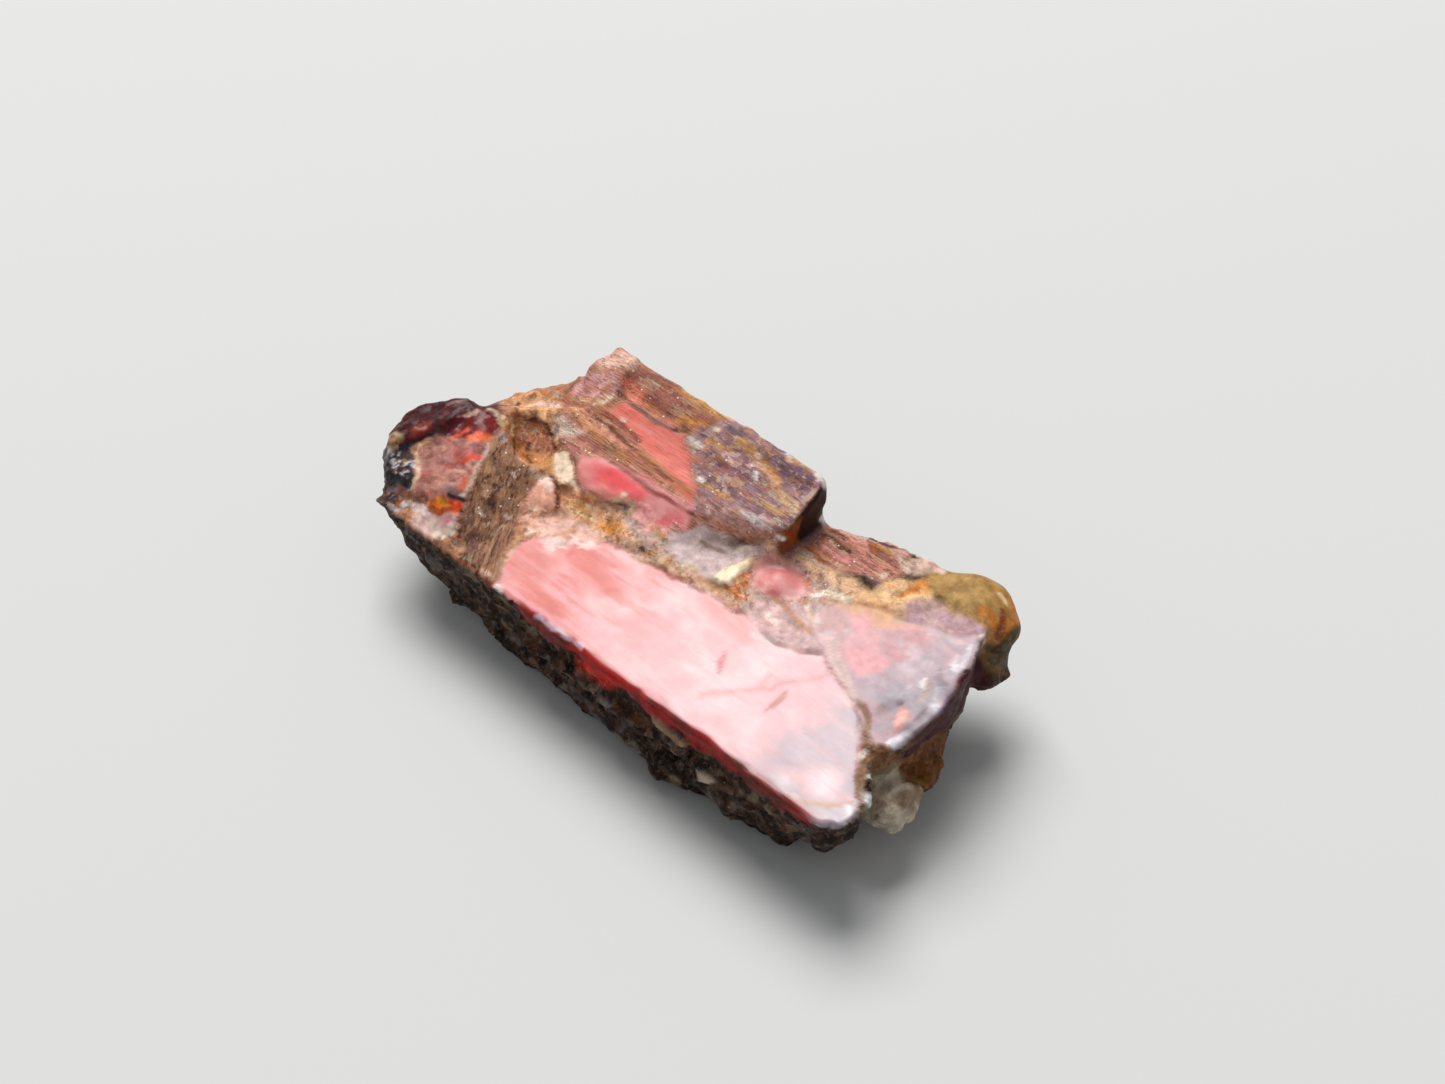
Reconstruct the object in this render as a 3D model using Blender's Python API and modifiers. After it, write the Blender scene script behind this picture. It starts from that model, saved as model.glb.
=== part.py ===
"""A broken crystal of manganotantalite: a tabular plate with a striated slab grown along its back.

The crystal lies on its base cleavage. +X runs along the crystal, +Y across it from the cleavage edge to the
striated slab, and +Z up. The origin is on the ground under the middle of the crystal. Sizes here are in
millimetres, and MM turns them into Blender's metres.
"""

import math
import random

import bmesh
import bpy
from mathutils import Vector, noise

MM = 0.001

# Driving dimensions
PLATE_LEFT, PLATE_RIGHT = -9.0, 8.95
PLATE_FRONT, PLATE_BACK = -4.35, 3.25
EDGE_HEIGHT = 3.2          # the top cleavage above the ground, along the front edge
CLEAVAGE_RISE = 83.0       # degrees above level to which the top cleavage's normal points
SLAB_CREST_HEIGHT = 5.85
SLAB_LEFT, SLAB_RIGHT = -5.9, 2.4
SLAB_TOP_RISE = 65.0
HEAD_CREST = (-6.4, -0.9, 4.9)

# How finely the crystal is worked
SURFACE_GRID = 0.13
KEPT_SHARE_OF_FACES = 0.14
ROUGHNESS_SEED = Vector((31.7, 8.3, 12.9))
BASE_SKIN = 0.06           # what lies lower than this is the base, and it's made flat
GOLDEN_TURN = 2.39996      # radians between one corner of a grain and the next

# The ways that a facet can face, in degrees round from +X
FRONT, BACK, LEFT, RIGHT = -90.0, 90.0, 180.0, 0.0


def clear_scene():
    for old in list(bpy.data.objects):
        bpy.data.objects.remove(old, do_unlink=True)


def new_collection(name):
    collection = bpy.data.collections.new(name)
    bpy.context.scene.collection.children.link(collection)
    return collection


def direction(faces, rises):
    """The way a facet faces: degrees round from +X towards +Y, and degrees above level."""
    around, up = math.radians(faces), math.radians(rises)
    return Vector((math.cos(around) * math.cos(up), math.sin(around) * math.cos(up), math.sin(up)))


def facet(through, faces, rises):
    """A flat crystal face or break, by a point that it passes through and the way that it faces."""
    return Vector(through), direction(faces, rises)


def hidden_object(name, mesh, collection):
    """An object for a mesh in millimetres, which is a step towards the crystal and isn't part of it."""
    helper = bpy.data.objects.new(name, mesh)
    helper.scale = (MM, MM, MM)
    helper.hide_render = True
    helper.display_type = "WIRE"
    collection.objects.link(helper)
    return helper


def helper_object(name, bm, collection):
    """A hidden object whose shape is joined to the crystal or cut from it."""
    bmesh.ops.recalc_face_normals(bm, faces=bm.faces[:])
    mesh = bpy.data.meshes.new(name)
    bm.to_mesh(mesh)
    bm.free()
    return hidden_object(name, mesh, collection)


def cleaved_block(name, low, high, facets, collection):
    """A block from corner low to corner high, split flat along each facet."""
    bm = bmesh.new()
    bmesh.ops.create_cube(bm, size=1.0)
    low, high = Vector(low), Vector(high)
    bmesh.ops.scale(bm, vec=high - low, verts=bm.verts[:])
    bmesh.ops.translate(bm, vec=(low + high) / 2, verts=bm.verts[:])
    for point, normal in facets:
        everything = bm.verts[:] + bm.edges[:] + bm.faces[:]
        cut = bmesh.ops.bisect_plane(
            bm, geom=everything, plane_co=point, plane_no=normal, clear_outer=True
        )["geom_cut"]
        rim = [part for part in cut if isinstance(part, bmesh.types.BMEdge)]
        bmesh.ops.edgenet_fill(bm, edges=rim)
    return helper_object(name, bm, collection)


def lump(name, centre, radii, collection, roughness=0.12):
    """A rounded lump with an uneven skin."""
    bm = bmesh.new()
    bmesh.ops.create_icosphere(bm, subdivisions=3, radius=1.0)
    for vert in bm.verts:
        bulge = 1.0 + roughness * noise.noise(vert.co * 2.2 + Vector(centre))
        vert.co = Vector(centre) + vert.co * Vector(radii) * bulge
    return helper_object(name, bm, collection)


def grain(name, centre, radii, corners, collection):
    """An angular grain of matrix, with flat sides between its corners."""
    jitter = random.Random(name)
    bm = bmesh.new()
    for index in range(corners):
        height = 1 - 2 * (index + 0.5) / corners
        around = index * GOLDEN_TURN + jitter.uniform(-0.3, 0.3)
        level = math.sqrt(1 - height * height)
        way = Vector((level * math.cos(around), level * math.sin(around), height))
        way *= jitter.uniform(0.86, 1.1)
        bm.verts.new(Vector(centre) + way * Vector(radii))
    hull = bmesh.ops.convex_hull(bm, input=bm.verts[:])
    inside = [part for part in hull["geom_interior"] if isinstance(part, bmesh.types.BMVert)]
    bmesh.ops.delete(bm, geom=inside, context="VERTS")
    return helper_object(name, bm, collection)


def thin_layer(name, outline, thickness, collection):
    """A layer of cleavage with a plan outline, which stands proud of the top face by its thickness."""
    bm = bmesh.new()
    corners = [bm.verts.new((x, y, EDGE_HEIGHT - 0.6)) for x, y in outline]
    base = bm.faces.new(corners)
    walls = bmesh.ops.extrude_face_region(bm, geom=[base])["geom"]
    slope = 1 / math.tan(math.radians(CLEAVAGE_RISE))
    for part in walls:
        if isinstance(part, bmesh.types.BMVert):
            part.co.z = EDGE_HEIGHT + thickness + slope * (part.co.y - PLATE_FRONT)
    return helper_object(name, bm, collection)


def split_off(block, scoop):
    """Takes a shell-shaped break out of a block."""
    cut = block.modifiers.new("Break", "BOOLEAN")
    cut.operation = "DIFFERENCE"
    cut.solver = "EXACT"
    cut.object = scoop


def plate_blocks(collection):
    """The tabular crystal: its long body, the wider stretch at the back right, and its front right tip."""
    top = facet((0, PLATE_FRONT, EDGE_HEIGHT), FRONT, CLEAVAGE_RISE)
    body = cleaved_block(
        "plate_body",
        (PLATE_LEFT, PLATE_FRONT, 0),
        (PLATE_RIGHT, PLATE_BACK + 0.3, 5),
        [
            top,
            facet((0, PLATE_FRONT, EDGE_HEIGHT), FRONT, -9),
            facet((0, PLATE_BACK, 4.1), BACK, -6),
            facet((8.8, 0.2, 3.6), RIGHT, -6),
            facet((8.72, -1.1, 3.6), -20, -8),
            facet((8.62, 1.4, 3.9), 20, -6),
            facet((-5.0, 0, 0.25), LEFT, -61),
            facet((-8.3, 0, 2.8), LEFT, -35),
            facet((-7.3, 1.2, 4.0), 135, 4),
            facet((5.0, 0, 0), 20, -72),
            facet((8.6, -3.2, 1.3), -30, -52),
            facet((8.6, 1.0, 1.2), 30, -50),
        ],
        collection,
    )
    back = cleaved_block(
        "plate_back",
        (0.5, 0, 0.9),
        (8.4, 5, 5),
        [
            top,
            facet((2.3, 3.15, 4.1), 105, -4),
            facet((5.9, 4.05, 4.1), 70, -10),
            facet((8.2, 2.6, 4.0), 22, -8),
            facet((4.0, 4.0, 1.6), 100, -40),
            facet((8.2, 2.5, 1.7), 60, -52),
        ],
        collection,
    )
    tip = cleaved_block(
        "plate_tip",
        (5.5, PLATE_FRONT, 0.9),
        (9.6, -1.9, 5),
        [
            top,
            facet((0, PLATE_FRONT, EDGE_HEIGHT), FRONT, -14),
            facet((8.9, -4.1, 3.2), -55, -16),
            facet((9.2, -3.3, 3.2), -8, -20),
            facet((9.0, -2.9, 3.3), 40, -14),
            facet((8.6, -3.8, 1.6), -40, -56),
        ],
        collection,
    )
    return [body, back, tip]


def cleavage_steps(collection):
    """Thin layers left on the top cleavage, ledges along the front wall, and a low rounded mound."""
    grey_ledge = [(-3.1, -0.4), (-1.75, -0.9), (1.0, -0.6), (2.0, -0.2), (2.3, 0.7), (1.6, 1.4), (-2.0, 1.2)]
    back_layer = [(2.2, 1.6), (4.4, 1.3), (5.9, 1.9), (6.4, 2.6), (5.4, 3.6), (2.4, 2.9)]
    corner_layer = [(6.6, -0.7), (8.3, -1.5), (8.5, 0.6), (7.6, 1.3), (6.5, 0.6)]
    layers = [
        thin_layer("grey_ledge", grey_ledge, 0.17, collection),
        thin_layer("back_layer", back_layer, 0.1, collection),
        thin_layer("corner_layer", corner_layer, 0.07, collection),
    ]
    upper_ledge = cleaved_block(
        "upper_ledge",
        (-2.4, -4.42, 1.75),
        (6.6, -3.4, 2.2),
        [facet((0, -4.3, 2.1), FRONT, 40), facet((-2.3, -4, 2), 200, 0), facet((6.4, -4, 2), -20, 0)],
        collection,
    )
    lower_ledge = cleaved_block(
        "lower_ledge",
        (-4.6, -4.2, 0.35),
        (1.2, -3.2, 1.15),
        [
            facet((-2, -4.05, 1.0), FRONT, 35),
            facet((-4.4, -3.6, 0.7), 215, -10),
            facet((0, -4.1, 0.6), FRONT, -30),
        ],
        collection,
    )
    mound = lump("rose_mound", (2.7, 0.68, 3.74), (0.66, 0.62, 0.3), collection)
    flake = grain("cream_flake", (1.8, 0.1, 3.72), (0.28, 0.66, 0.26), 12, collection)
    return layers + [upper_ledge, lower_ledge, mound, flake]


def slab_blocks(collection):
    """The striated slab along the back, broken off square at its right end, and its pale left corner."""
    slab = cleaved_block(
        "slab",
        (SLAB_LEFT - 0.6, -2, 1.2),
        (SLAB_RIGHT + 0.3, PLATE_BACK + 0.1, 7),
        [
            facet((0, 3.1, SLAB_CREST_HEIGHT), FRONT, SLAB_TOP_RISE),
            facet((0, 3.1, SLAB_CREST_HEIGHT), BACK, 24),
            facet((0, PLATE_BACK, 4.8), BACK, -3),
            facet((-1.0, 0.3, 4.5), -75, 24),
            facet((-3.6, -0.5, 4.1), -110, 30),
            facet((SLAB_RIGHT, 2.2, 5.2), 4, -5),
            facet((2.3, 1.4, 4.9), -45, 12),
            facet((2.35, 3.0, 5.6), 48, 20),
            facet((SLAB_LEFT, 2.6, 5.3), 160, 28),
            facet((-5.3, 1.2, 4.9), 205, 42),
        ],
        collection,
    )
    corner = cleaved_block(
        "slab_corner",
        (-6.2, 1.9, 3.0),
        (-4.6, 3.4, 6.3),
        [
            facet((-5.4, 2.9, 5.9), 230, 74),
            facet((-6.0, 2.6, 5.6), 165, 22),
            facet((-5.2, 2.2, 5.6), -100, 35),
            facet((-5.4, 3.25, 5.6), BACK, 12),
            facet((-4.8, 2.8, 5.8), 10, 30),
        ],
        collection,
    )
    return [slab, corner]


def head_blocks(collection):
    """The broken left end: a mottled and a fibrous face that meet in a crest, and a dark glassy shoulder."""
    underside = facet((-5.0, 0, 0.25), LEFT, -61)
    chin = facet((-8.4, 0, 2.8), LEFT, -38)
    head = cleaved_block(
        "head",
        (-10.2, -4.3, 0.3),
        (-3.0, 1.6, 5.4),
        [
            facet(HEAD_CREST, 250, 70),
            facet(HEAD_CREST, -30, 58),
            facet((-7.7, -3.65, 3.55), 262, 36),
            facet((-8.2, -0.6, 4.45), 135, 52),
            facet((-8.6, -0.4, 4.2), 130, 24),
            facet((-9.5, -1.6, 4.0), 155, 18),
            facet((-9.55, -2.5, 3.7), 182, 12),
            facet((-9.0, -3.4, 3.4), 212, 4),
            facet((-8.4, -3.95, 2.9), 232, -8),
            facet((-7.7, 0.15, 4.4), 118, 14),
            facet((-7.0, -4.2, 2.9), FRONT, -18),
            underside,
            chin,
        ],
        collection,
    )
    saddle = cleaved_block(
        "saddle",
        (-7.8, -0.8, 1.2),
        (-3.6, PLATE_BACK - 0.2, 5.2),
        [
            facet((-6.2, 1.0, 4.62), -70, 74),
            facet((-4.6, -0.4, 4.0), -40, 48),
            facet((-7.35, 1.0, 4.4), 152, 22),
            facet((-6.85, 2.4, 4.4), 128, 14),
            underside,
        ],
        collection,
    )
    shoulder = cleaved_block(
        "dark_shoulder",
        (-10.0, -3.5, 2.4),
        (-8.0, -0.6, 4.8),
        [
            facet((-9.0, -2.1, 4.42), 215, 72),
            facet((-9.7, -1.9, 4.1), 168, 26),
            facet((-9.4, -2.85, 4.0), 205, 22),
            facet((-8.95, -3.2, 3.9), 240, 30),
            facet((-8.6, -2.6, 4.3), 300, 44),
            facet((-9.2, -1.0, 4.2), 135, 34),
            facet((-9.6, -2.2, 3.2), 185, -38),
            facet((-9.0, -3.2, 3.1), 225, -30),
        ],
        collection,
    )
    valley = lump("valley", (0, 0, 0), (1.35, 0.85, 1.0), collection)
    valley.location = Vector((-5.6, -0.45, 5.05)) * MM
    valley.rotation_euler.z = math.radians(-38)
    for block in (head, saddle):
        split_off(block, valley)
    knob = cleaved_block(
        "pale_knob",
        (-5.05, -1.8, 2.8),
        (-3.95, -0.65, 4.15),
        [
            facet((-4.5, -1.25, 3.98), 250, 70),
            facet((-4.9, -1.25, 3.7), 200, 30),
            facet((-4.1, -1.15, 3.8), 10, 45),
            facet((-4.45, -1.65, 3.7), -80, 40),
            facet((-4.55, -0.8, 3.75), 100, 20),
        ],
        collection,
    )
    flake = cleaved_block(
        "pale_flake",
        (-5.45, -0.75, 3.2),
        (-3.8, 0.45, 4.6),
        [
            facet((-4.7, -0.1, 4.3), 300, 70),
            facet((-5.0, -0.25, 4.1), 215, 8),
            facet((-4.3, 0.05, 4.1), 40, 16),
            facet((-5.1, 0.3, 4.2), 120, 10),
            facet((-4.05, -0.6, 4.0), -50, 10),
        ],
        collection,
    )
    return [head, shoulder, saddle, knob, flake]


def matrix_grains(collection):
    """Ochre and grey matrix that the crystal grew in: a nodule at the right, and crust round the foot."""
    grains = [
        ("nodule", (7.1, 3.8, 3.25), (1.45, 1.2, 1.1), 40),
        ("nodule_side", (7.95, 3.2, 2.6), (0.85, 0.95, 0.85), 11),
        ("tip_grain", (8.7, -1.75, 1.7), (1.1, 1.05, 0.9), 10),
        ("end_grain", (8.4, -0.1, 1.45), (0.85, 1.1, 0.75), 14),
        ("end_grain_back", (7.7, 1.6, 1.9), (0.8, 1.0, 0.9), 14),
        ("foot_grain_left", (0.9, -3.8, 0.85), (2.0, 0.6, 0.8), 22),
        ("foot_grain_middle", (2.9, -3.95, 0.7), (1.4, 0.7, 0.75), 16),
        ("foot_grain_right", (5.0, -3.75, 1.1), (1.7, 0.7, 0.9), 20),
        ("foot_grain_end", (6.9, -3.3, 1.3), (1.2, 0.9, 0.7), 14),
        ("back_grain", (-1.2, 2.95, 1.6), (2.4, 0.7, 1.4), 24),
        ("back_grain_right", (4.4, 3.1, 1.7), (1.9, 0.95, 1.2), 20),
        ("back_grain_left", (-4.6, 2.6, 2.2), (1.3, 0.8, 1.2), 16),
    ]
    return [grain(name, centre, radii, corners, collection) for name, centre, radii, corners in grains]


def joined_mesh(blocks, collection):
    """One closed skin round all the overlapping blocks, on an even grid."""
    bpy.context.view_layer.update()
    graph = bpy.context.evaluated_depsgraph_get()
    bm = bmesh.new()
    for block in blocks:
        bm.from_mesh(block.evaluated_get(graph).data)
    rough_crystal = helper_object("rough_crystal", bm, collection)
    skin = rough_crystal.modifiers.new("Even skin", "REMESH")
    skin.mode = "VOXEL"
    skin.voxel_size = SURFACE_GRID
    bpy.context.view_layer.update()
    graph = bpy.context.evaluated_depsgraph_get()
    return bpy.data.meshes.new_from_object(rough_crystal.evaluated_get(graph))


def fade(value, start, end):
    """0 before start, 1 after end, and smooth between them."""
    share = min(1.0, max(0.0, (value - start) / (end - start)))
    return share * share * (3 - 2 * share)


def roughness_at(point, normal):
    """How far the skin stands out at a point, in millimetres: breaks, striations and crust."""
    x, y, z = point
    top_facing = fade(normal.z, 0.55, 0.85)
    on_slab = fade(z, 4.25, 4.6) * fade(y, -0.6, 0.2) * fade(x, -6.0, -5.2) * top_facing
    on_pink_face = top_facing * (1 - fade(y, -1.3, -1.0)) * fade(x, -4.2, -3.6)
    seed = point + ROUGHNESS_SEED
    wide = noise.fractal(seed * 0.55, 1.0, 2.0, 3)
    fine = noise.fractal(seed * 1.9, 0.8, 2.1, 3)
    broken = noise.voronoi(seed * 1.1)[0][0]
    across = y - 0.06 * x + 0.12 * noise.noise(Vector((x * 0.25, y * 0.8, 4.0)))
    grooves = math.sin(across * 7.1) + 0.7 * math.sin(across * 11.9 + 1.4)
    low_on_wall = (1 - fade(z, 1.7, 2.8)) * (1 - abs(normal.z))
    rough = 0.05 * wide + 0.07 * fine + 0.12 * (broken - 0.35)
    rough += low_on_wall * (0.16 * wide + 0.08 * fine)
    striated = 0.028 * grooves + 0.03 * fine
    smooth = 0.03 * wide + 0.012 * fine
    out = rough * (1 - on_slab) + striated * on_slab
    return out * (1 - on_pink_face) + smooth * on_pink_face


def weathered(mesh):
    """Moves the skin's points in and out. The base stays flat, so that the crystal rests."""
    bm = bmesh.new()
    bm.from_mesh(mesh)
    bm.normal_update()
    moves = []
    for vert in bm.verts:
        move = vert.normal * roughness_at(vert.co.copy(), vert.normal)
        if vert.co.z < BASE_SKIN:
            move.z = 0
        moves.append(move)
    for vert, move in zip(bm.verts, moves):
        vert.co += move
        if vert.co.z < BASE_SKIN:
            vert.co.z = 0.0
    bm.to_mesh(mesh)
    bm.free()


def with_fewer_faces(mesh, collection):
    """Large faces where the skin is flat, and small ones where it is rough."""
    fine_crystal = hidden_object("fine_crystal", mesh, collection)
    fewer = fine_crystal.modifiers.new("Fewer faces", "DECIMATE")
    fewer.ratio = KEPT_SHARE_OF_FACES
    bpy.context.view_layer.update()
    graph = bpy.context.evaluated_depsgraph_get()
    return bpy.data.meshes.new_from_object(fine_crystal.evaluated_get(graph))


def standing_on_origin(mesh):
    """Puts the crystal's middle over the origin and its base on the ground, and turns it to metres."""
    bm = bmesh.new()
    bm.from_mesh(mesh)
    xs = [vert.co.x for vert in bm.verts]
    ys = [vert.co.y for vert in bm.verts]
    middle = Vector(((min(xs) + max(xs)) / 2, (min(ys) + max(ys)) / 2, 0))
    for vert in bm.verts:
        vert.co -= middle
        vert.co.z = max(vert.co.z, 0.0)
    bmesh.ops.scale(bm, vec=(MM, MM, MM), verts=bm.verts[:])
    bm.to_mesh(mesh)
    bm.free()


def crystal_material():
    material = bpy.data.materials.new("manganotantalite")
    material.use_nodes = True
    shader = material.node_tree.nodes["Principled BSDF"]
    shader.inputs["Base Color"].default_value = (0.42, 0.16, 0.13, 1.0)
    shader.inputs["Roughness"].default_value = 0.38
    shader.inputs["Metallic"].default_value = 0.0
    return material


def build():
    clear_scene()
    parts = new_collection("manganotantalite_crystal")
    helpers = new_collection("growth_blocks")
    blocks = plate_blocks(helpers) + cleavage_steps(helpers) + slab_blocks(helpers) + head_blocks(helpers)
    blocks += matrix_grains(helpers)
    skin = joined_mesh(blocks, helpers)
    weathered(skin)
    mesh = with_fewer_faces(skin, helpers)
    standing_on_origin(mesh)
    mesh.name = "crystal"
    mesh.materials.clear()
    mesh.materials.append(crystal_material())
    mesh.set_sharp_from_angle(angle=math.radians(25))
    parts.objects.link(bpy.data.objects.new("crystal", mesh))


build()
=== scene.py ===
import math

import bpy
import numpy as np
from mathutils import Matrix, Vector


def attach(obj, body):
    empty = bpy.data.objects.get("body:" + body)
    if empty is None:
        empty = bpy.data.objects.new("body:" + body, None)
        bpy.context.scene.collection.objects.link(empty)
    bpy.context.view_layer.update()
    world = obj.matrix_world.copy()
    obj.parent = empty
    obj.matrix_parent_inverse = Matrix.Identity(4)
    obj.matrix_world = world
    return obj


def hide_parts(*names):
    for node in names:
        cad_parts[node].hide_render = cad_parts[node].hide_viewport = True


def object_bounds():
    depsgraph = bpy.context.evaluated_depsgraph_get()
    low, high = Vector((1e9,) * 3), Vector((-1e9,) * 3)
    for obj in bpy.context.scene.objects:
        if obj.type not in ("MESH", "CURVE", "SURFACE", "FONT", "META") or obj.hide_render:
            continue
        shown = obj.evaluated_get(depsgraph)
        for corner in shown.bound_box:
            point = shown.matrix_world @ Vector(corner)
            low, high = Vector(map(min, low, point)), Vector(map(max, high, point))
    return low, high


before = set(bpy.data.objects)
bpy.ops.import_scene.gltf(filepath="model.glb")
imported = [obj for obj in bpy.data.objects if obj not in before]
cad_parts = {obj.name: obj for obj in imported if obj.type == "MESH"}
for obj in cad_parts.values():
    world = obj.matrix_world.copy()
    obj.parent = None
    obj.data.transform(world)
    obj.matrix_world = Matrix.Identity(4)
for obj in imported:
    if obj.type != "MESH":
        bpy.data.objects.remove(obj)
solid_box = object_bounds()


# The table, the lamp and the camera. A plain pale board carries the crystal, one big soft window
# lamp stands behind it to the left and a little above, and the camera looks down at 45 degrees
# from the front right, a few centimetres away. None of it is part of the crystal.
MM = 0.001
TABLE_SIDE = 3.0
TABLE_GAP = 0.02 * MM
TABLE_PAINT = (0.70, 0.70, 0.68, 1.0)
TABLE_ROUGHNESS = 0.85
TABLE_SHINE = 0.2
LOOK_AT = Vector((0.18, 1.17, 3.0)) * MM
CAMERA_SIDE_ANGLE = 43.0
CAMERA_HEIGHT_ANGLE = 45.0
CAMERA_DISTANCE = 54.0 * MM
CAMERA_LENS = 47.34
CAMERA_SENSOR = 36.0
CAMERA_NEAREST = 1.0 * MM
WINDOW_WAY = Vector((-0.42, 0.29, 0.86))
WINDOW_DISTANCE = 0.6
WINDOW_SIDE = 0.34
WINDOW_POWER = 3.7
ROOM_LIGHT = (0.93, 0.96, 1.0, 1.0)
ROOM_STRENGTH = 0.29

bpy.ops.mesh.primitive_plane_add(size=TABLE_SIDE, location=(0, 0, -TABLE_GAP))
table = bpy.context.object
table.name = "table"
board = bpy.data.materials.new("painted board")
board.use_nodes = True
painted = board.node_tree.nodes["Principled BSDF"]
painted.inputs["Base Color"].default_value = TABLE_PAINT
painted.inputs["Roughness"].default_value = TABLE_ROUGHNESS
painted.inputs["Specular IOR Level"].default_value = TABLE_SHINE
table.data.materials.append(board)

window = bpy.data.lights.new("window", "AREA")
window.shape = "SQUARE"
window.size = WINDOW_SIDE
window.energy = WINDOW_POWER
lamp = bpy.data.objects.new("window", window)
lamp.location = WINDOW_WAY.normalized() * WINDOW_DISTANCE
lamp.rotation_euler = (-WINDOW_WAY).to_track_quat("-Z", "Y").to_euler()
bpy.context.scene.collection.objects.link(lamp)

room = bpy.data.worlds.new("room")
room.use_nodes = True
room.node_tree.nodes["Background"].inputs["Color"].default_value = ROOM_LIGHT
room.node_tree.nodes["Background"].inputs["Strength"].default_value = ROOM_STRENGTH
bpy.context.scene.world = room
bpy.context.scene.view_settings.view_transform = "Standard"

side = math.radians(CAMERA_SIDE_ANGLE)
rise = math.radians(CAMERA_HEIGHT_ANGLE)
backward = Vector((math.sin(side) * math.cos(rise), -math.cos(side) * math.cos(rise), math.sin(rise)))
lens = bpy.data.cameras.new("camera")
lens.lens = CAMERA_LENS
lens.sensor_width = CAMERA_SENSOR
lens.clip_start = CAMERA_NEAREST
camera = bpy.data.objects.new("camera", lens)
camera.location = LOOK_AT + backward * CAMERA_DISTANCE
camera.rotation_euler = (-backward).to_track_quat("-Z", "Y").to_euler()
bpy.context.scene.collection.objects.link(camera)
bpy.context.scene.camera = camera


# The crystal's skin. The real piece is one broken tabular crystal of dark red manganotantalite,
# cleaved flat on top and rough everywhere else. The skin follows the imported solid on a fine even
# net of points, so that grooves, crust and cracks can be worked into it as real relief.
SKIN_NET = 0.085
SKIN_ROUNDS = 6
WANDER_SIZE = 0.5
PLAIN_ROUGHNESS = 0.5
PLAIN_SPECKS = 0.08
SCRAMBLE = np.array((374761393, 668265263, 1274126177))
STIR, STIR_MASK, CHANCE_MASK = 1103515245, 0x7FFFFFFF, 0xFFFF
LAYER_WEIGHT, LAYER_FINER = 0.55, 2.03

def skin_of(node):
    """The solid's surface, drawn anew on an even net."""
    blank = bpy.data.objects.new("manganotantalite", node.data.copy())
    bpy.context.scene.collection.objects.link(blank)
    blank.data.materials.clear()
    net = blank.modifiers.new("net", "REMESH")
    net.mode = "VOXEL"
    net.voxel_size = SKIN_NET * MM
    ready = blank.evaluated_get(bpy.context.evaluated_depsgraph_get())
    mesh = bpy.data.meshes.new_from_object(ready)
    blank.modifiers.clear()
    blank.data = mesh
    return blank

def points_of(mesh):
    flat = np.empty(len(mesh.vertices) * 3, np.float32)
    mesh.vertices.foreach_get("co", flat)
    return flat.reshape(-1, 3).astype(float) / MM

def normals_of(mesh):
    mesh.update()
    flat = np.empty(len(mesh.vertices) * 3, np.float32)
    mesh.vertex_normals.foreach_get("vector", flat)
    return flat.reshape(-1, 3).astype(float)

def put_points(mesh, points):
    mesh.vertices.foreach_set("co", (points * MM).astype(np.float32).ravel())
    mesh.update()

def eased(points, edges, rounds, pulls=(0.5, -0.52)):
    """Takes the flats of the solid's triangles out of the skin without shrinking it."""
    first, second = edges[:, 0], edges[:, 1]
    count = np.bincount(edges.ravel(), minlength=len(points))[:, None]
    for turn in range(rounds):
        for pull in pulls:
            total = np.zeros_like(points)
            for axis in range(3):
                total[:, axis] = np.bincount(first, points[second, axis], len(points))
                total[:, axis] += np.bincount(second, points[first, axis], len(points))
            points = points + pull * (total / count - points)
    return points

def scrambled(cells):
    """A large number for each cell of a net, the same at every run."""
    return (cells * SCRAMBLE).sum(axis=1)

def grain(points, size, layers=1, seed=0):
    """Smooth random relief from -1 to 1, with swells of the given size in millimetres."""
    where = points / np.asarray(size, float) + 31.7 + 17.13 * seed
    total, weight, whole = 0.0, 1.0, 0.0
    for layer in range(layers):
        cell = np.floor(where).astype(np.int64)
        inner = where - cell
        inner = inner * inner * (3 - 2 * inner)
        value = 0.0
        for corner in range(8):
            way = np.array((corner & 1, corner >> 1 & 1, corner >> 2))
            mixed = scrambled(cell + way)
            mixed = (mixed ^ (mixed >> 13)) * STIR & STIR_MASK
            mixed = (mixed ^ (mixed >> 15)) & CHANCE_MASK
            share = np.prod(np.where(way, inner, 1 - inner), axis=1)
            value = value + share * (mixed / (CHANCE_MASK / 2) - 1)
        total = total + value * weight
        whole += weight
        weight *= LAYER_WEIGHT
        where = where * LAYER_FINER + 5.1
    return np.clip(total / whole * 1.6, -1, 1)

crystal = skin_of(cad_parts["crystal"])
skin = crystal.data
ties = np.empty(len(skin.edges) * 2, np.int32)
skin.edges.foreach_get("vertices", ties)
ties = ties.reshape(-1, 2)
points = eased(points_of(skin), ties, SKIN_ROUNDS)
put_points(skin, points)
facing = normals_of(skin)
# X, Y and Z look into the points, so they follow what is later done to them.
X, Y, Z = points.T
wander = np.stack([grain(points, WANDER_SIZE, 3, seed) for seed in (1, 2)], axis=1)

# Each point carries its colour, its roughness, its relief in millimetres, and from 0 to 1 how much
# it is speckled, grooved, fibrous, crusty, glowing from within, glassy, cleaved and faceted.
stain = np.empty((len(points), 3))
roughness = np.full(len(points), PLAIN_ROUGHNESS)
speckled = np.full(len(points), PLAIN_SPECKS)
relief, grooved, fibrous, crusty, glow, glassy, cleaved, faceted = np.zeros((8, len(points)))


# The broken sides and the underside. They are a rough crust of dark iron and manganese stain with
# ochre earth, and with pale grains of the quartz and feldspar that the crystal grew in.
CRUST_DARK = (22, 13, 9)
CRUST_BROWN = (44, 28, 19)
CRUST_OCHRE = (86, 56, 34)
CRUST_PALE = (122, 108, 88)
CRUST_GREY = (92, 84, 84)
CRUST_ROUGHNESS = 0.62
EVERYWHERE = 1.0

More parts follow.
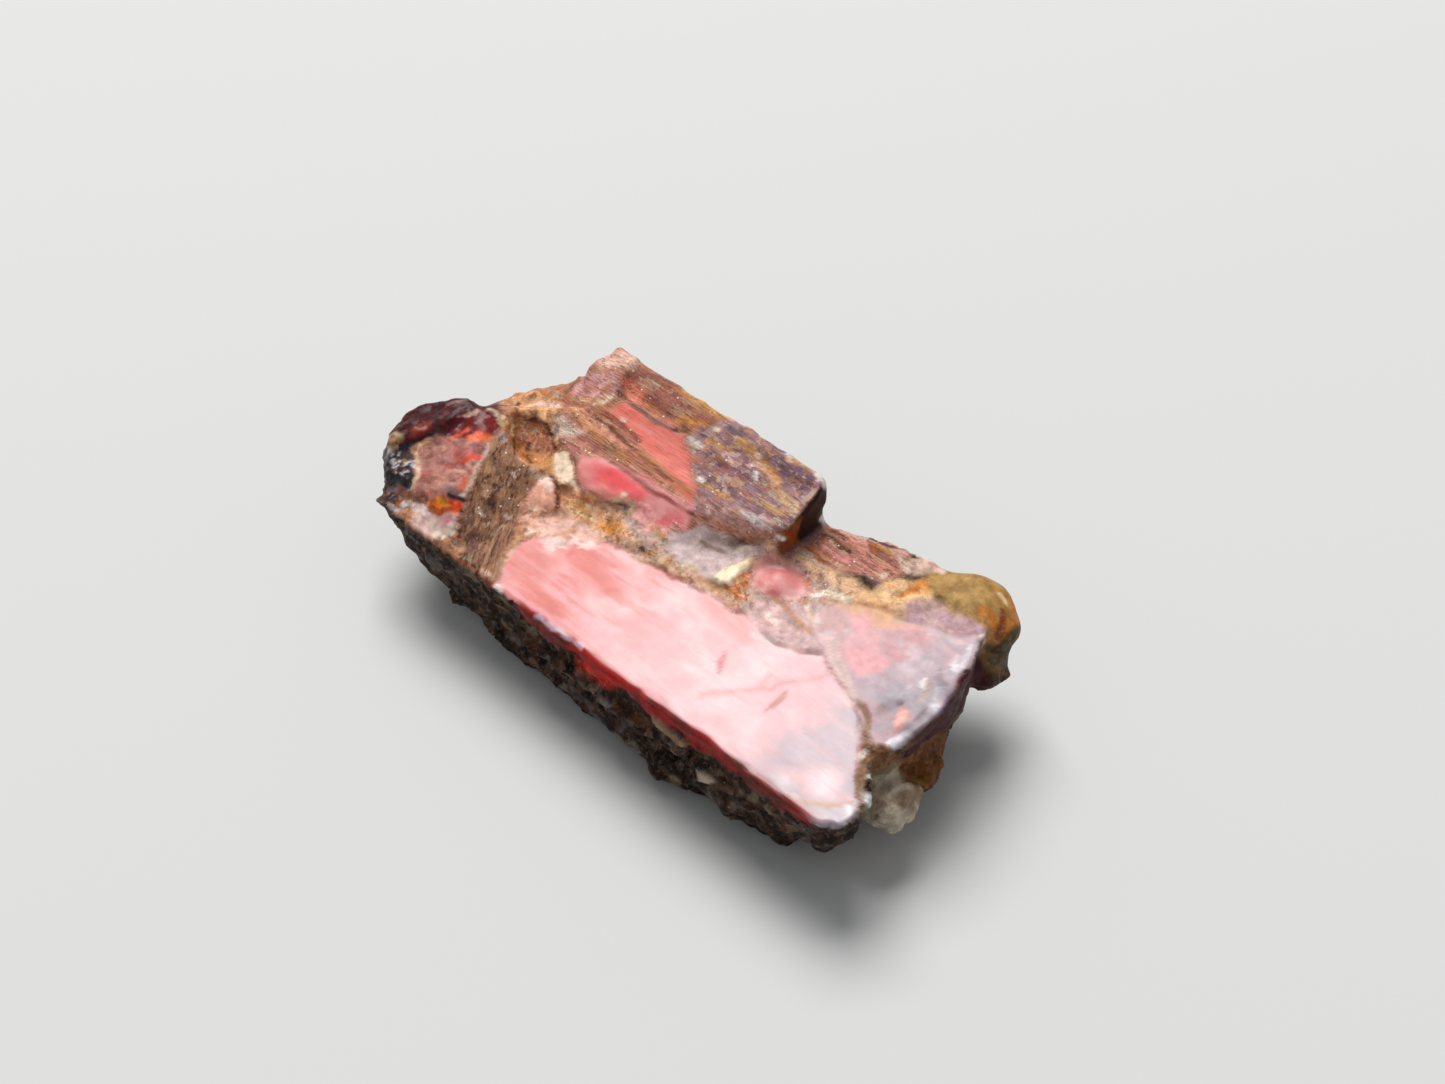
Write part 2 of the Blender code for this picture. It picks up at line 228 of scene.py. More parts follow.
def ramp(value, low, high):
    """A soft step, 0 below the low value and 1 above the high one."""
    part = np.clip((value - low) / (high - low), 0, 1)
    return part * part * (3 - 2 * part)

def tone(card):
    """A finish's colour, given as on a colour card from 0 to 255, as light."""
    card = np.array(card) / 255
    return np.where(card <= 0.04045, card / 12.92, ((card + 0.055) / 1.055) ** 2.4)

def lay(share, colour=None, rough=None, strength=1.0):
    """Lays a colour and a finish over what is there already."""
    share = np.clip(share * strength, 0, 1)
    if colour is not None:
        stain[:] = stain + share[:, None] * (tone(colour) - stain)
    if rough is not None:
        roughness[:] = roughness + share * (rough - roughness)
    return share

def mottle(share, size, seed, low, high, colour, rough=None, strength=1.0, layers=3):
    """Lays a colour over a place in soft random blotches of the given size in millimetres."""
    lay(share * ramp(grain(points, size, layers, seed), low, high), colour, rough, strength)

stain[:] = tone(CRUST_DARK)
mottle(EVERYWHERE, 0.7, 3, -0.1, 0.4, CRUST_BROWN)
mottle(EVERYWHERE, 0.45, 4, 0.3, 0.6, CRUST_OCHRE, strength=0.8)
mottle(EVERYWHERE, 0.5, 5, 0.42, 0.7, CRUST_PALE, strength=0.8, layers=2)
mottle(EVERYWHERE, (0.8, 0.4, 0.4), 44, 0.45, 0.7, CRUST_GREY, 0.4, 0.7, layers=2)
crusty[:] = 1.0
roughness[:] = CRUST_ROUGHNESS


# The top of the plate. It is one cleavage, salmon red and glassy, paler towards the thin right end,
# where the window's glare is painted into its colour as a painted highlight, with a few creases, a slit
# and a bruised grey place near the white rim.
FACE = [(-3.17, -4.85), (-3.24, -4.25), (-3.58, -3.82), (-3.75, -3.4), (-3.72, -3.0), (-3.56, -2.61), (-3.11, -2.48),
        (-2.7, -2.34), (-2.56, -1.77), (-2.07, -1.46), (-1.32, -1.33), (-0.55, -1.2), (0.06, -1.22), (0.72, -1.12),
        (1.37, -1.0), (2.13, -0.94), (2.85, -0.92), (3.59, -1.02), (4.2, -1.1), (4.91, -0.91), (5.45, -0.57),
        (5.93, -0.8), (6.51, -1.07), (7.02, -1.23), (7.49, -1.34), (8.05, -2.0), (8.45, -2.56), (8.86, -3.12),
        (9.18, -3.69), (9.1, -4.46), (8.5, -4.7), (5.0, -4.9), (0.0, -5.1)]
RIGHT_FACET = [(7.49, -1.34), (6.91, -1.23), (6.47, -1.02), (5.93, -0.8), (5.45, -0.57), (5.02, -0.39), (4.48, -0.1),
               (4.18, 0.65), (4.89, 1.14), (5.18, 1.3), (5.63, 1.5), (6.42, 1.6), (7.03, 1.89), (7.58, 2.04),
               (8.26, 2.47), (8.72, 1.6), (8.9, 0.86), (9.0, 0.17), (9.05, -0.49), (8.9, -1.25), (8.75, -1.61),
               (8.17, -1.91)]
SALMON = (220, 100, 84)
GLARE_PAINTED_PINK = (232, 156, 158)
LILAC = (176, 150, 158)
GREY = (146, 134, 142)
WHITE = (236, 228, 226)
PLATE_SLOPE = 0.1228
PLATE_FRONT_EDGE = -4.58
PLATE_FRONT_HEIGHT = 3.2
PLATE_ROUGHNESS = 0.33
PLATE_GLOW = 0.5
PLATE_SHINE, TIP_SHINE = 0.1, 0.19
PLATE_ROSE, PLATE_RED = (250, 208, 206), (216, 84, 58)
STREAK_PINK, STREAK_OCHRE = (236, 160, 164), (206, 74, 40)
BRUISE_PALE, BRUISE_GREY = (196, 152, 158), (150, 132, 142)
SLIT_DEPTH = 0.02
TOP, FRONT, END = "top", "front", "end"

def depth_inside(outline, across, along):
    """How far each point lies inside a closed outline in millimetres, negative outside it."""
    corners = np.array(outline, float)
    nearest = np.full(len(across), 1e9)
    odd = np.zeros(len(across), bool)
    for (x0, y0), (x1, y1) in zip(corners, np.roll(corners, -1, axis=0)):
        run, climb = x1 - x0, y1 - y0
        part = ((across - x0) * run + (along - y0) * climb) / (run * run + climb * climb + 1e-12)
        part = np.clip(part, 0, 1)
        gap = (across - x0 - part * run) ** 2 + (along - y0 - part * climb) ** 2
        nearest = np.minimum(nearest, gap)
        meets = (y0 > along) != (y1 > along)
        odd ^= meets & (across < run * (along - y0) / (climb if climb else 1e-12) + x0)
    return np.where(odd, 1, -1) * np.sqrt(nearest)

def patch(outline, soft=0.1, ragged=0.08, seen=TOP, low=0.05, above=2.8):
    """The share of each point that lies in a patch drawn on the top, the front or the end."""
    pairs = {TOP: (X, Y, facing[:, 2]), FRONT: (X, Z, -facing[:, 1]), END: (Y, Z, facing[:, 0])}
    across, along, towards = pairs[seen]
    deep = depth_inside(outline, across + ragged * wander[:, 0], along + ragged * wander[:, 1])
    share = ramp(deep, -soft, soft) * ramp(towards, low, low + 0.2)
    if seen == TOP:
        share = share * ramp(Z, above, above + 0.2)
    return share * ramp(X, 7.4, 7.8) if seen == END else share

def patches(place, *rows, low=0.05, rough=None):
    """Lays patches within a place. A row is a colour, a soft edge, a strength and an outline."""
    for colour, soft, strength, *outline in rows:
        lay(patch(outline, soft, low=low) * place, colour, rough, strength)

def line(path, width, soft=0.05, ragged=0.05):
    """The share of each point that lies on a line drawn over the skin, a seam, a chip or a streak."""
    spots = np.array(path, float)
    where = points + ragged * np.stack([wander[:, 0], wander[:, 1], wander[:, 0] * 0.5], axis=1)
    nearest = np.full(len(points), 1e9)
    for start, end in zip(spots[:-1], spots[1:]):
        run = end - start
        part = np.clip((where - start) @ run / (run @ run + 1e-9), 0, 1)
        nearest = np.minimum(nearest, ((where - start - part[:, None] * run) ** 2).sum(axis=1))
    half = max(width, 0.11) / 2
    return ramp(-np.sqrt(nearest), -half - soft, -half + 0.4 * soft)

def streaks(*rows):
    """Lays streaks, seams and chips. A row is a width, a colour and the points it runs through."""
    for width, colour, *path in rows:
        lay(line(path, width), colour)

def clear(share, crust=1.0, specks=1.0, grooves=0.0):
    """Takes crust, specks and grooves off a place, each by the part that is given."""
    for measure, amount in ((crusty, crust), (speckled, specks), (grooved, grooves)):
        measure *= 1 - amount * share

plane = PLATE_FRONT_HEIGHT + PLATE_SLOPE * (Y - PLATE_FRONT_EDGE)
plate = patch(FACE, 0.05, 0.02, low=0.6)
plate *= ramp(Z - plane, -0.5, -0.3)
flat_part = plate * ramp(-np.abs(Z - plane), -0.2, -0.1)
Z += flat_part * (plane - Z)
lay(plate, SALMON, PLATE_ROUGHNESS)
# Painted highlight: the plate is painted paler towards its right end in place of the window's glare.
lay(plate * ramp(X + 0.8 * grain(points, 1.4, 2, 6), -3.0, 3.5), GLARE_PAINTED_PINK)
plate = patch(FACE, 0.13, 0.12, low=0.5) * ramp(Z - plane, -0.5, -0.3)
clear(plate)
glow += PLATE_GLOW * plate
glassy += plate * (PLATE_SHINE + TIP_SHINE * ramp(X, -2.5, 5.5))
cleaved += plate
mottle(plate, (1.1, 0.7, 0.7), 41, -0.5, 0.9, PLATE_ROSE, strength=0.6)
mottle(plate * ramp(-X, -1.0, 2.0), (1.2, 0.4, 0.5), 42, -0.4, 0.8, PLATE_RED, strength=0.5)
mottle(plate * ramp(-X, -3.0, 0.5), (1.6, 0.28, 0.4), 55, -0.1, 0.6, STREAK_PINK, strength=0.75)
mottle(plate * ramp(-X, -2.2, 0.5), (1.4, 0.16, 0.3), 57, 0.15, 0.6, STREAK_OCHRE, strength=0.6)
mottle(plate * ramp(X, 3.6, 5.2), (0.8, 0.6, 0.6), 43, -0.4, 0.7, BRUISE_PALE, strength=0.6)
mottle(plate * ramp(X, 5.8, 6.8), (0.7, 0.5, 0.6), 45, -0.4, 0.6, BRUISE_GREY, strength=0.7)
patches(
    plate,
    ((214, 76, 56), 0.18, 0.6, (-2.45, -2.81), (-2.03, -2.48), (-0.94, -2.38), (-0.2, -2.37), (-0.47, -2.72),
     (-1.25, -2.85)),
    ((208, 88, 68), 0.3, 0.5, (-3.56, -3.72), (-3.61, -3.1), (-3.08, -2.64), (-2.45, -2.81), (-2.16, -3.51),
     (-3.0, -4.25)),
    ((222, 104, 80), 0.2, 0.55, (1.52, -1.16), (2.19, -1.01), (3.11, -0.97), (3.89, -1.27), (3.64, -1.66),
     (2.05, -1.53)),
    ((196, 90, 84), 0.14, 0.75, (3.76, -3.53), (4.59, -2.69), (5.33, -1.77), (5.91, -1.02), (6.0, -1.12),
     (5.44, -1.89), (4.69, -2.81), (3.87, -3.65)),
    ((206, 74, 68), 0.12, 0.6, (4.78, -2.32), (4.74, -1.97), (5.07, -1.95), (5.13, -2.32)),
    (LILAC, 0.25, 0.9, (6.59, -2.8), (6.94, -2.11), (7.06, -1.4), (7.49, -1.34), (8.11, -2.07), (8.86, -3.12),
     (8.05, -3.16), (7.51, -3.39), (7.24, -3.92), (6.81, -3.96), (6.65, -3.4)),
    # Painted highlights: the next two soft white patches, the window's glare near the plate's right tip.
    (WHITE, 0.3, 0.45, (6.97, -4.22), (7.24, -3.99), (7.52, -4.15), (7.32, -4.38)),
    (WHITE, 0.35, 0.6, (7.71, -3.61), (7.9, -3.22), (8.32, -3.32), (8.4, -3.72), (8.08, -3.92)),
    ((240, 205, 190), 0.15, 0.6, (-2.87, -2.25), (-2.9, -1.9), (-2.56, -2.0), (-2.43, -2.44)))
for colour, *outline in (
        ((176, 92, 66), (5.5, -2.89), (5.43, -2.62), (5.45, -2.21), (5.54, -2.08), (5.6, -2.3), (5.58, -2.71)),
        ((190, 84, 96), (3.69, -2.84), (3.48, -2.5), (3.33, -2.19), (3.42, -2.16), (3.61, -2.48), (3.77, -2.82))):
    cut = patch(outline, 0.07, 0.06)
    lay(cut, colour, 0.6)
    relief -= SLIT_DEPTH * cut
streaks(
    (0.11, (168, 112, 76), (-3.05, -4.42, 3.2), (-3.37, -4.09, 3.25), (-3.58, -3.74, 3.32), (-3.75, -3.35, 3.39),
     (-3.76, -3.0, 3.44)),
    (0.17, (250, 226, 218), (-3.05, -4.46, 3.2), (-2.88, -4.47, 3.17)),
    (0.14, (150, 146, 170), (8.66, -4.32, 3.24), (8.95, -4.28, 3.22), (9.11, -4.17, 3.26)),
    (0.11, (206, 184, 160), (8.74, -3.97, 3.29), (9.05, -3.87, 3.3), (9.16, -3.62, 3.32)),
    (0.08, (196, 150, 124), (7.12, -4.53, 3.19), (7.56, -4.42, 3.23), (7.96, -4.28, 3.25), (8.33, -4.09, 3.28),
     (8.65, -3.86, 3.3)),
    (0.17, (150, 132, 134), (7.11, -4.59, 3.15), (7.35, -4.56, 3.18)),
    (0.22, (240, 150, 146), (4.96, -2.21, 3.49), (4.95, -2.05, 3.5)))


# The right-hand facet: the same cleavage past a brown crack, bruised grey and lilac, with pink
# windows where it is clean and a white splintered rim along its broken edge.
FACET_ROUGHNESS = 0.36
FACET_GLOW = 0.25
FACET_SHINE = 0.13
FACET_PINK, FACET_PALE = (186, 130, 132), (206, 192, 198)
RIM_LILAC, LIP_BROWN, CRACK_BROWN = (172, 160, 168), (180, 132, 92), (150, 112, 88)
CRACK_DEPTH = 0.05
facet = patch(RIGHT_FACET, 0.08, 0.04, low=0.5)
lay(facet, LILAC, FACET_ROUGHNESS)
clear(facet)
glow += FACET_GLOW * facet
glassy += FACET_SHINE * facet
cleaved += 0.6 * facet
Z += 0.75 * facet * np.clip(plane + 0.02 - Z, -0.2, 0.2)
CLEAN_WINDOW = [(5.0, 1.02), (5.47, 1.4), (5.95, 1.17), (6.55, 0.41), (6.96, 0.23), (7.01, -0.15), (6.6, -0.62),
                (5.96, -0.27), (5.36, 0.51)]
patches(
    facet,
    ((200, 144, 138), 0.25, 0.9, (4.18, 0.65), (4.89, 1.14), (5.73, 0.15), (6.15, -0.33), (6.47, -1.02), (5.93, -0.8),
     (5.45, -0.57), (5.02, -0.39), (4.48, -0.1)),
    ((226, 148, 150), 0.12, 0.95, *CLEAN_WINDOW),
    ((206, 126, 124), 0.3, 0.8, (6.3, 0.95), (7.11, 1.79), (7.37, 1.3), (7.21, 0.5), (6.96, 0.15)),
    (GREY, 0.22, 0.9, (7.49, -1.04), (7.38, 0.02), (8.08, 0.38), (8.61, 0.51), (8.77, -0.1), (8.49, -0.92),
     (8.46, -1.48), (8.18, -1.7), (7.75, -1.5)),
    ((220, 128, 112), 0.1, 0.9, (8.15, -0.99), (8.13, -0.61), (8.45, -0.63), (8.63, -1.09), (8.51, -1.34)),
    (WHITE, 0.08, 0.9, (7.98, 0.3), (8.1, 0.47), (8.28, 0.34), (8.22, 0.13)))
clean = patch(CLEAN_WINDOW, 0.15)
mottle(facet * (1 - 0.8 * clean), (0.6, 0.6, 0.6), 48, -0.2, 0.7, FACET_PINK, strength=0.5)
mottle(facet * (1 - 0.6 * clean), (0.4, 0.5, 0.4), 49, 0.1, 0.7, FACET_PALE, strength=0.5)
SPLINTERED_RIM = [
    [(6.34, -4.7), (6.9, -4.5), (7.56, -4.4), (8.23, -4.22), (8.78, -3.96), (8.98, -3.46), (9.3, -3.77), (9.2, -4.5),
     (8.47, -4.8), (7.0, -4.8)],
    [(8.36, 2.22), (8.68, 1.27), (8.93, 0.38), (9.1, -0.37), (8.95, -1.35), (8.72, -1.65), (8.6, -1.38), (8.72, -0.7),
     (8.6, 0.15), (8.34, 1.06), (8.14, 1.89)]]
for outline in SPLINTERED_RIM:
    rim = patch(outline, 0.1, 0.14, low=0.0)
    lay(rim, RIM_LILAC, 0.34, 0.9)
    mottle(rim, 0.3, 24, 0.1, 0.4, WHITE, strength=0.75, layers=2)
    clear(rim, specks=0.0)
lay(patch([(7.4, -4.47), (7.93, -4.31), (8.59, -3.94), (8.94, -3.51), (8.99, -3.58), (8.67, -4.03), (8.0, -4.39),
          (7.51, -4.51)], 0.08), LIP_BROWN, 0.6, 0.75)
CRACK = [(7.02, -1.23), (7.27, -1.17), (7.58, -1.3), (7.77, -1.6), (8.2, -1.88), (8.6, -2.28), (8.86, -2.88),
         (9.1, -3.36), (9.0, -3.43), (8.76, -2.96), (8.39, -2.49), (8.01, -2.05), (7.67, -1.72), (7.45, -1.44)]
crack = patch(CRACK, 0.08, 0.08)
lay(crack, CRACK_BROWN, 0.6, 0.8)
relief -= CRACK_DEPTH * crack
streaks(
    (0.19, (214, 148, 136), (5.93, 0.98, 3.91), (6.35, 1.26, 3.91), (6.87, 1.67, 3.98)),
    (0.22, (190, 164, 164), (6.71, 2.28, 4.08), (7.22, 2.5, 4.05), (7.62, 2.63, 4.08)),
    (0.08, (204, 170, 166), (7.2, 1.68, 3.98), (7.71, 1.88, 3.96), (8.19, 2.02, 4.06)),
    (0.08, (196, 140, 140), (5.45, 1.38, 4.02), (5.88, 1.2, 3.93), (6.21, 0.77, 3.89)),
    (0.14, (240, 228, 222), (8.17, 0.23, 3.88), (8.14, 0.43, 3.92)),
    (0.06, (184, 148, 136), (8.17, 0.47, 3.92), (8.29, 0.21, 3.84), (8.37, -0.14, 3.8)),
    (0.19, (244, 170, 152), (8.35, -1.07, 3.72), (8.3, -0.74, 3.71)),
    (0.17, (250, 240, 232), (8.61, -1.57, 3.59), (8.78, -1.46, 3.55)),
    (0.14, (156, 118, 90), (7.24, -1.22, 3.67), (7.55, -1.27, 3.72), (7.74, -1.56, 3.58), (8.05, -1.85, 3.53),
     (8.36, -1.91, 3.53)),
    (0.17, (140, 106, 78), (8.4, -2.18, 3.49), (8.55, -2.67, 3.43), (8.78, -3.1, 3.39), (9.08, -3.38, 3.35)),
    (0.14, (224, 206, 190), (8.28, -2.2, 3.49), (8.28, -2.43, 3.45)),
    (0.11, (206, 190, 198), (8.33, 2.09, 4.03), (8.47, 1.41, 3.99), (8.63, 0.73, 3.82), (8.8, 0.11, 3.78),
     (8.86, -0.53, 3.67), (8.79, -1.15, 3.61)),
    (0.28, (232, 224, 232), (8.7, -1.5, 3.57), (8.78, -1.15, 3.61), (8.84, -0.53, 3.68), (8.8, -0.05, 3.76)),
    (0.11, (196, 176, 206), (8.7, 0.65, 3.79), (8.9, 0.15, 3.74), (8.95, -0.38, 3.61)),
    (0.28, (250, 250, 250), (9.25, -3.19, 3.24), (9.0, -2.55, 2.14)),
    (0.17, (196, 190, 186), (9.16, -2.59, 2.17), (9.3, -2.52, 2.22)),
    (0.28, (166, 142, 118), (8.78, -1.51, 2.46), (9.14, -1.62, 2.35), (9.45, -1.91, 2.27)),
    (0.11, (206, 204, 186), (8.81, -2.67, 3.41), (8.48, -2.04, 2.53)))


# The red wall. Under the front edge of the plate the clean crystal is broken across and lets light
# through, a deep red band above the dark crust of the foot. Its red is partly the crystal's own colour
# and partly a painted glow of the light let through; the brightest red spot is painted glow.
RUBY, RUBY_DEEP, RUBY_PAINTED_GLOW = (170, 14, 9), (134, 22, 14), (214, 20, 10)
RUBY_BROWN, UNDER_RIM_RED_AND_SHADE, LIP_LILAC = (84, 28, 18), (66, 13, 15), (206, 176, 190)
END_OCHRE, END_GREY = (124, 70, 28), (158, 136, 112)
BAND_GLOW = 0.3
GRAIN_HEIGHT = 0.1
depth = plane - Z
band = ramp(-facing[:, 1], 0.1, 0.4) * ramp(X, -2.5, -1.7) * ramp(-X, -8.8, -8.0)
band *= ramp(-depth + 0.2 * wander[:, 0], -0.62, -0.34) * ramp(-Y, 3.3, 3.8)
lay(band, RUBY, 0.5, 0.97)
lay(band * ramp(X, 2.0, 6.0), RUBY_DEEP, strength=0.85)
mottle(band, (0.9, 0.4, 0.4), 23, -0.1, 0.4, RUBY_BROWN, strength=0.75)
# Painted glow: the brightest red spot, where light comes through the band.
lay(patch([(-0.1, 2.43), (1.13, 3.07), (1.78, 3.0), (1.48, 2.48), (0.74, 2.24), (0.04, 2.16)], 0.15, seen=FRONT),
    RUBY_PAINTED_GLOW, strength=0.8)
clear(band, crust=0.8, specks=0.8)
glow += BAND_GLOW * band
lay(line([(-1.4, -4.42, 3.2), (-0.9, -4.48, 3.22), (-0.3, -4.55, 3.2), (0.25, -4.5, 3.2)], 0.15, ragged=0.1),
    LIP_LILAC, 0.3, 0.9)
for colour, *outline in (
        ((160, 124, 98), (3.05, 2.83), (3.29, 2.81), (3.76, 2.6), (4.36, 2.67), (4.11, 2.27), (3.62, 2.33),
         (3.13, 2.31)),
        ((196, 172, 150), (4.59, 1.78), (4.89, 1.95), (5.28, 1.92), (5.08, 1.51), (4.68, 1.41)),
        ((130, 114, 114), (1.15, 2.06), (1.39, 2.15), (1.59, 2.08), (1.5, 1.92), (1.24, 1.9))):
    lens_grain = patch(outline, 0.08, 0.05, FRONT)
    lay(lens_grain, colour, 0.5)
    clear(lens_grain, crust=0.0, specks=0.7)
    relief += GRAIN_HEIGHT * lens_grain
# Under the rim at the plate's end: the crystal's dark red with painted shade in it.
under_rim = patch([(2.61, 3.6), (1.35, 3.98), (0.62, 3.86), (-0.07, 3.77), (-1.02, 3.69), (-1.6, 3.5), (-0.14, 2.75),
                  (1.2, 1.95), (1.8, 2.02), (2.67, 1.92)], 0.15, 0.14, END)
lay(under_rim, UNDER_RIM_RED_AND_SHADE, 0.5, 0.95)
lay(patch([(-1.8, 3.3), (-1.3, 3.4), (-0.1, 2.75), (1.2, 1.95), (0.98, 1.3), (-0.15, 0.9), (-1.3, 1.2), (-1.8, 2.2)],
          0.2, 0.16, END), END_OCHRE, 0.6, 0.85)
clear(under_rim, crust=0.6, specks=0.8)
lay(patch([(-2.28, 3.39), (-1.43, 2.91), (-1.06, 1.79), (-1.45, 1.26), (-2.42, 1.92), (-3.1, 3.2)], 0.2, seen=END),
    END_GREY, 0.5, 0.8)
lay(patch([(8.97, -3.17), (9.19, -3.03), (9.25, -2.46), (9.33, -3.44)], 0.12), WHITE, 0.3, 0.9)

# Behind the plate's tip the wall is worn into a hollow, with a pale grain of feldspar below it.
HOLLOW_MIDDLE = (8.9, -2.15, 2.3)
NOTCH_MIDDLE = (8.7, -1.95, 3.2)
HOLLOW_ROUNDS = 40
RUBBING = (0.5,)
HOLLOW_BROWN, NOTCH_BROWN, STONE_CREAM = (128, 106, 82), (142, 96, 62), (212, 196, 174)

def ball(middle, inner, outer):
    """The share of each point that lies round a middle."""
    return ramp(-np.linalg.norm(points - np.array(middle), axis=1), -outer, -inner)

def rub(share, rounds):
    """Rubs the forms of a place round."""
    points[:] = points + share[:, None] * (eased(points, ties, rounds, RUBBING) - points)

hollow = ball(HOLLOW_MIDDLE, 0.45, 0.75)
rub(hollow, HOLLOW_ROUNDS)
lay(hollow, HOLLOW_BROWN, 0.55, 0.9)
lay(ball(NOTCH_MIDDLE, 0.3, 0.5), NOTCH_BROWN, 0.6, 0.9)
stone = ramp(X, 8.2, 8.5) * ramp(Y, -3.3, -3.0) * ramp(-Y, 1.35, 1.6) * ramp(-Z, -2.7, -2.5)
mottle(stone, 0.6, 50, -0.6, 0.2, STONE_CREAM, 0.5, 0.85, layers=2)
clear(stone, crust=0.0, specks=0.7)
streaks(
    (0.39, (120, 72, 24), (8.82, -1.2, 2.5), (9.05, -0.59, 1.92), (9.12, -0.13, 1.81)),
    (0.28, (132, 92, 38), (9.06, -1.0, 1.81), (9.21, -0.79, 1.49)),
    (0.28, (66, 16, 20), (8.69, 1.27, 3.97), (8.92, 0.6, 3.6), (8.86, -0.27, 2.92), (8.84, -1.3, 3.14)))


# The back ledge and its crusts: pink brown crystal striated along its length, ochre earth and a
# pale torn edge, and the khaki nodule of matrix at its end.
BACK_PINK, STRIP_LILAC, STRIP_PEACH, EDGE_OCHRE = (206, 136, 120), (196, 156, 162), (216, 178, 160), (242, 190, 142)
KHAKI, KHAKI_DARK, NODULE_OCHRE = (182, 142, 80), (150, 112, 62), (184, 110, 42)
NODULE_SHADE, NODULE_BLACK, FOOT_BROWN = (64, 58, 30), (30, 18, 12), (58, 50, 30)
NODULE_ROUNDS = 40
NODULE_MIDDLE = (7.28, 3.57, 3.2)

def turned_to(measure, share, amount):
    """A measure with a place brought to a given amount."""
    return measure * (1 - share) + amount * share

back = patch([(2.55, 1.35), (2.62, 2.9), (3.0, 3.3), (4.3, 3.5), (5.1, 3.4), (5.43, 2.79), (5.18, 2.25), (4.72, 2.08),
             (4.13, 1.75), (3.59, 1.6)], 0.1, low=0.3)
lay(back, BACK_PINK, 0.42)
grooved += back
speckled = np.maximum(speckled, 0.4 * back)
clear(back, specks=0.0)
patches(
    EVERYWHERE,
    ((204, 160, 146), 0.12, 0.8, (2.99, 2.98), (3.58, 3.4), (4.46, 3.6), (4.93, 3.6), (5.08, 2.99), (4.31, 2.95)),
    ((190, 112, 44), 0.08, 0.95, (4.07, 2.85), (4.17, 3.16), (4.53, 3.02), (4.43, 2.76)),
    ((240, 204, 184), 0.1, 0.9, (5.18, 3.0), (5.42, 3.8), (6.16, 3.9), (6.09, 3.48), (5.67, 2.92)),
    ((255, 206, 154), 0.12, 0.95, (5.17, 1.55), (5.15, 2.28), (5.51, 2.69), (5.8, 2.77), (6.08, 3.28), (6.31, 3.12),
     (6.49, 2.55), (6.72, 2.06), (6.28, 1.55), (5.73, 1.39)),
    ((240, 166, 98), 0.1, 0.8, (5.63, 2.59), (5.85, 2.9), (6.17, 3.21), (6.36, 2.71), (6.1, 2.39)),
    ((250, 200, 158), 0.15, 0.95, (3.33, 1.54), (3.91, 1.65), (4.35, 1.77), (5.07, 1.75), (5.25, 1.45), (4.82, 1.22),
     (4.14, 1.11)),
    ((248, 226, 198), 0.08, 0.95, (4.04, 1.06), (4.35, 1.27), (4.86, 1.25), (4.77, 1.08), (4.34, 0.96)), rough=0.55)
strip = patch([(5.9, 1.55), (6.5, 1.5), (7.1, 1.85), (7.7, 2.0), (8.35, 2.4), (8.5, 2.75), (8.3, 3.0), (7.6, 2.9),
              (6.9, 2.6), (6.3, 2.3)], 0.15, 0.12, low=-0.6, above=3.3)
lay(strip, STRIP_LILAC, 0.45, 0.95)
mottle(strip, 0.5, 25, 0.0, 0.4, STRIP_PEACH, strength=0.6, layers=2)
clear(strip, crust=0.8, specks=0.8)
over_edge = patch([(4.5, 0.95), (5.1, 1.0), (5.6, 1.15), (6.1, 1.1), (6.5, 1.45), (6.3, 1.9), (5.6, 1.8), (5.0, 1.6)],
                  0.2, 0.2, low=-0.3, above=3.4)
lay(over_edge, EDGE_OCHRE, 0.5, 0.85)
clear(over_edge, crust=0.6, specks=0.0)
glassy *= 1 - over_edge
nodule = ball(NODULE_MIDDLE, 1.6, 1.95) * ramp(Y + 0.25 * wander[:, 0], 2.4, 2.9)
rub(nodule, NODULE_ROUNDS)
lay(nodule, KHAKI, 0.55)
mottle(nodule, 0.5, 51, -0.2, 0.6, KHAKI_DARK, strength=0.6)
lay(nodule * ramp(X + 0.5 * wander[:, 1], 7.6, 8.4), NODULE_OCHRE, strength=0.85)
lay(nodule * ramp(-Z + 0.2 * wander[:, 0], -3.72, -3.42), NODULE_SHADE, strength=0.95)
mottle(nodule * ramp(-Z, -3.6, -3.3), 0.4, 46, 0.1, 0.3, NODULE_BLACK, strength=0.8, layers=2)
foot = ramp(X, 7.7, 8.0) * ramp(Y, 2.25, 2.6) * ramp(-Z + 0.2 * wander[:, 0], -3.5, -3.2) * (1 - nodule)
lay(foot, FOOT_BROWN, 0.55, 0.9)
crusty = turned_to(crusty, nodule, 0.22)
speckled = turned_to(speckled, nodule, 0.06)
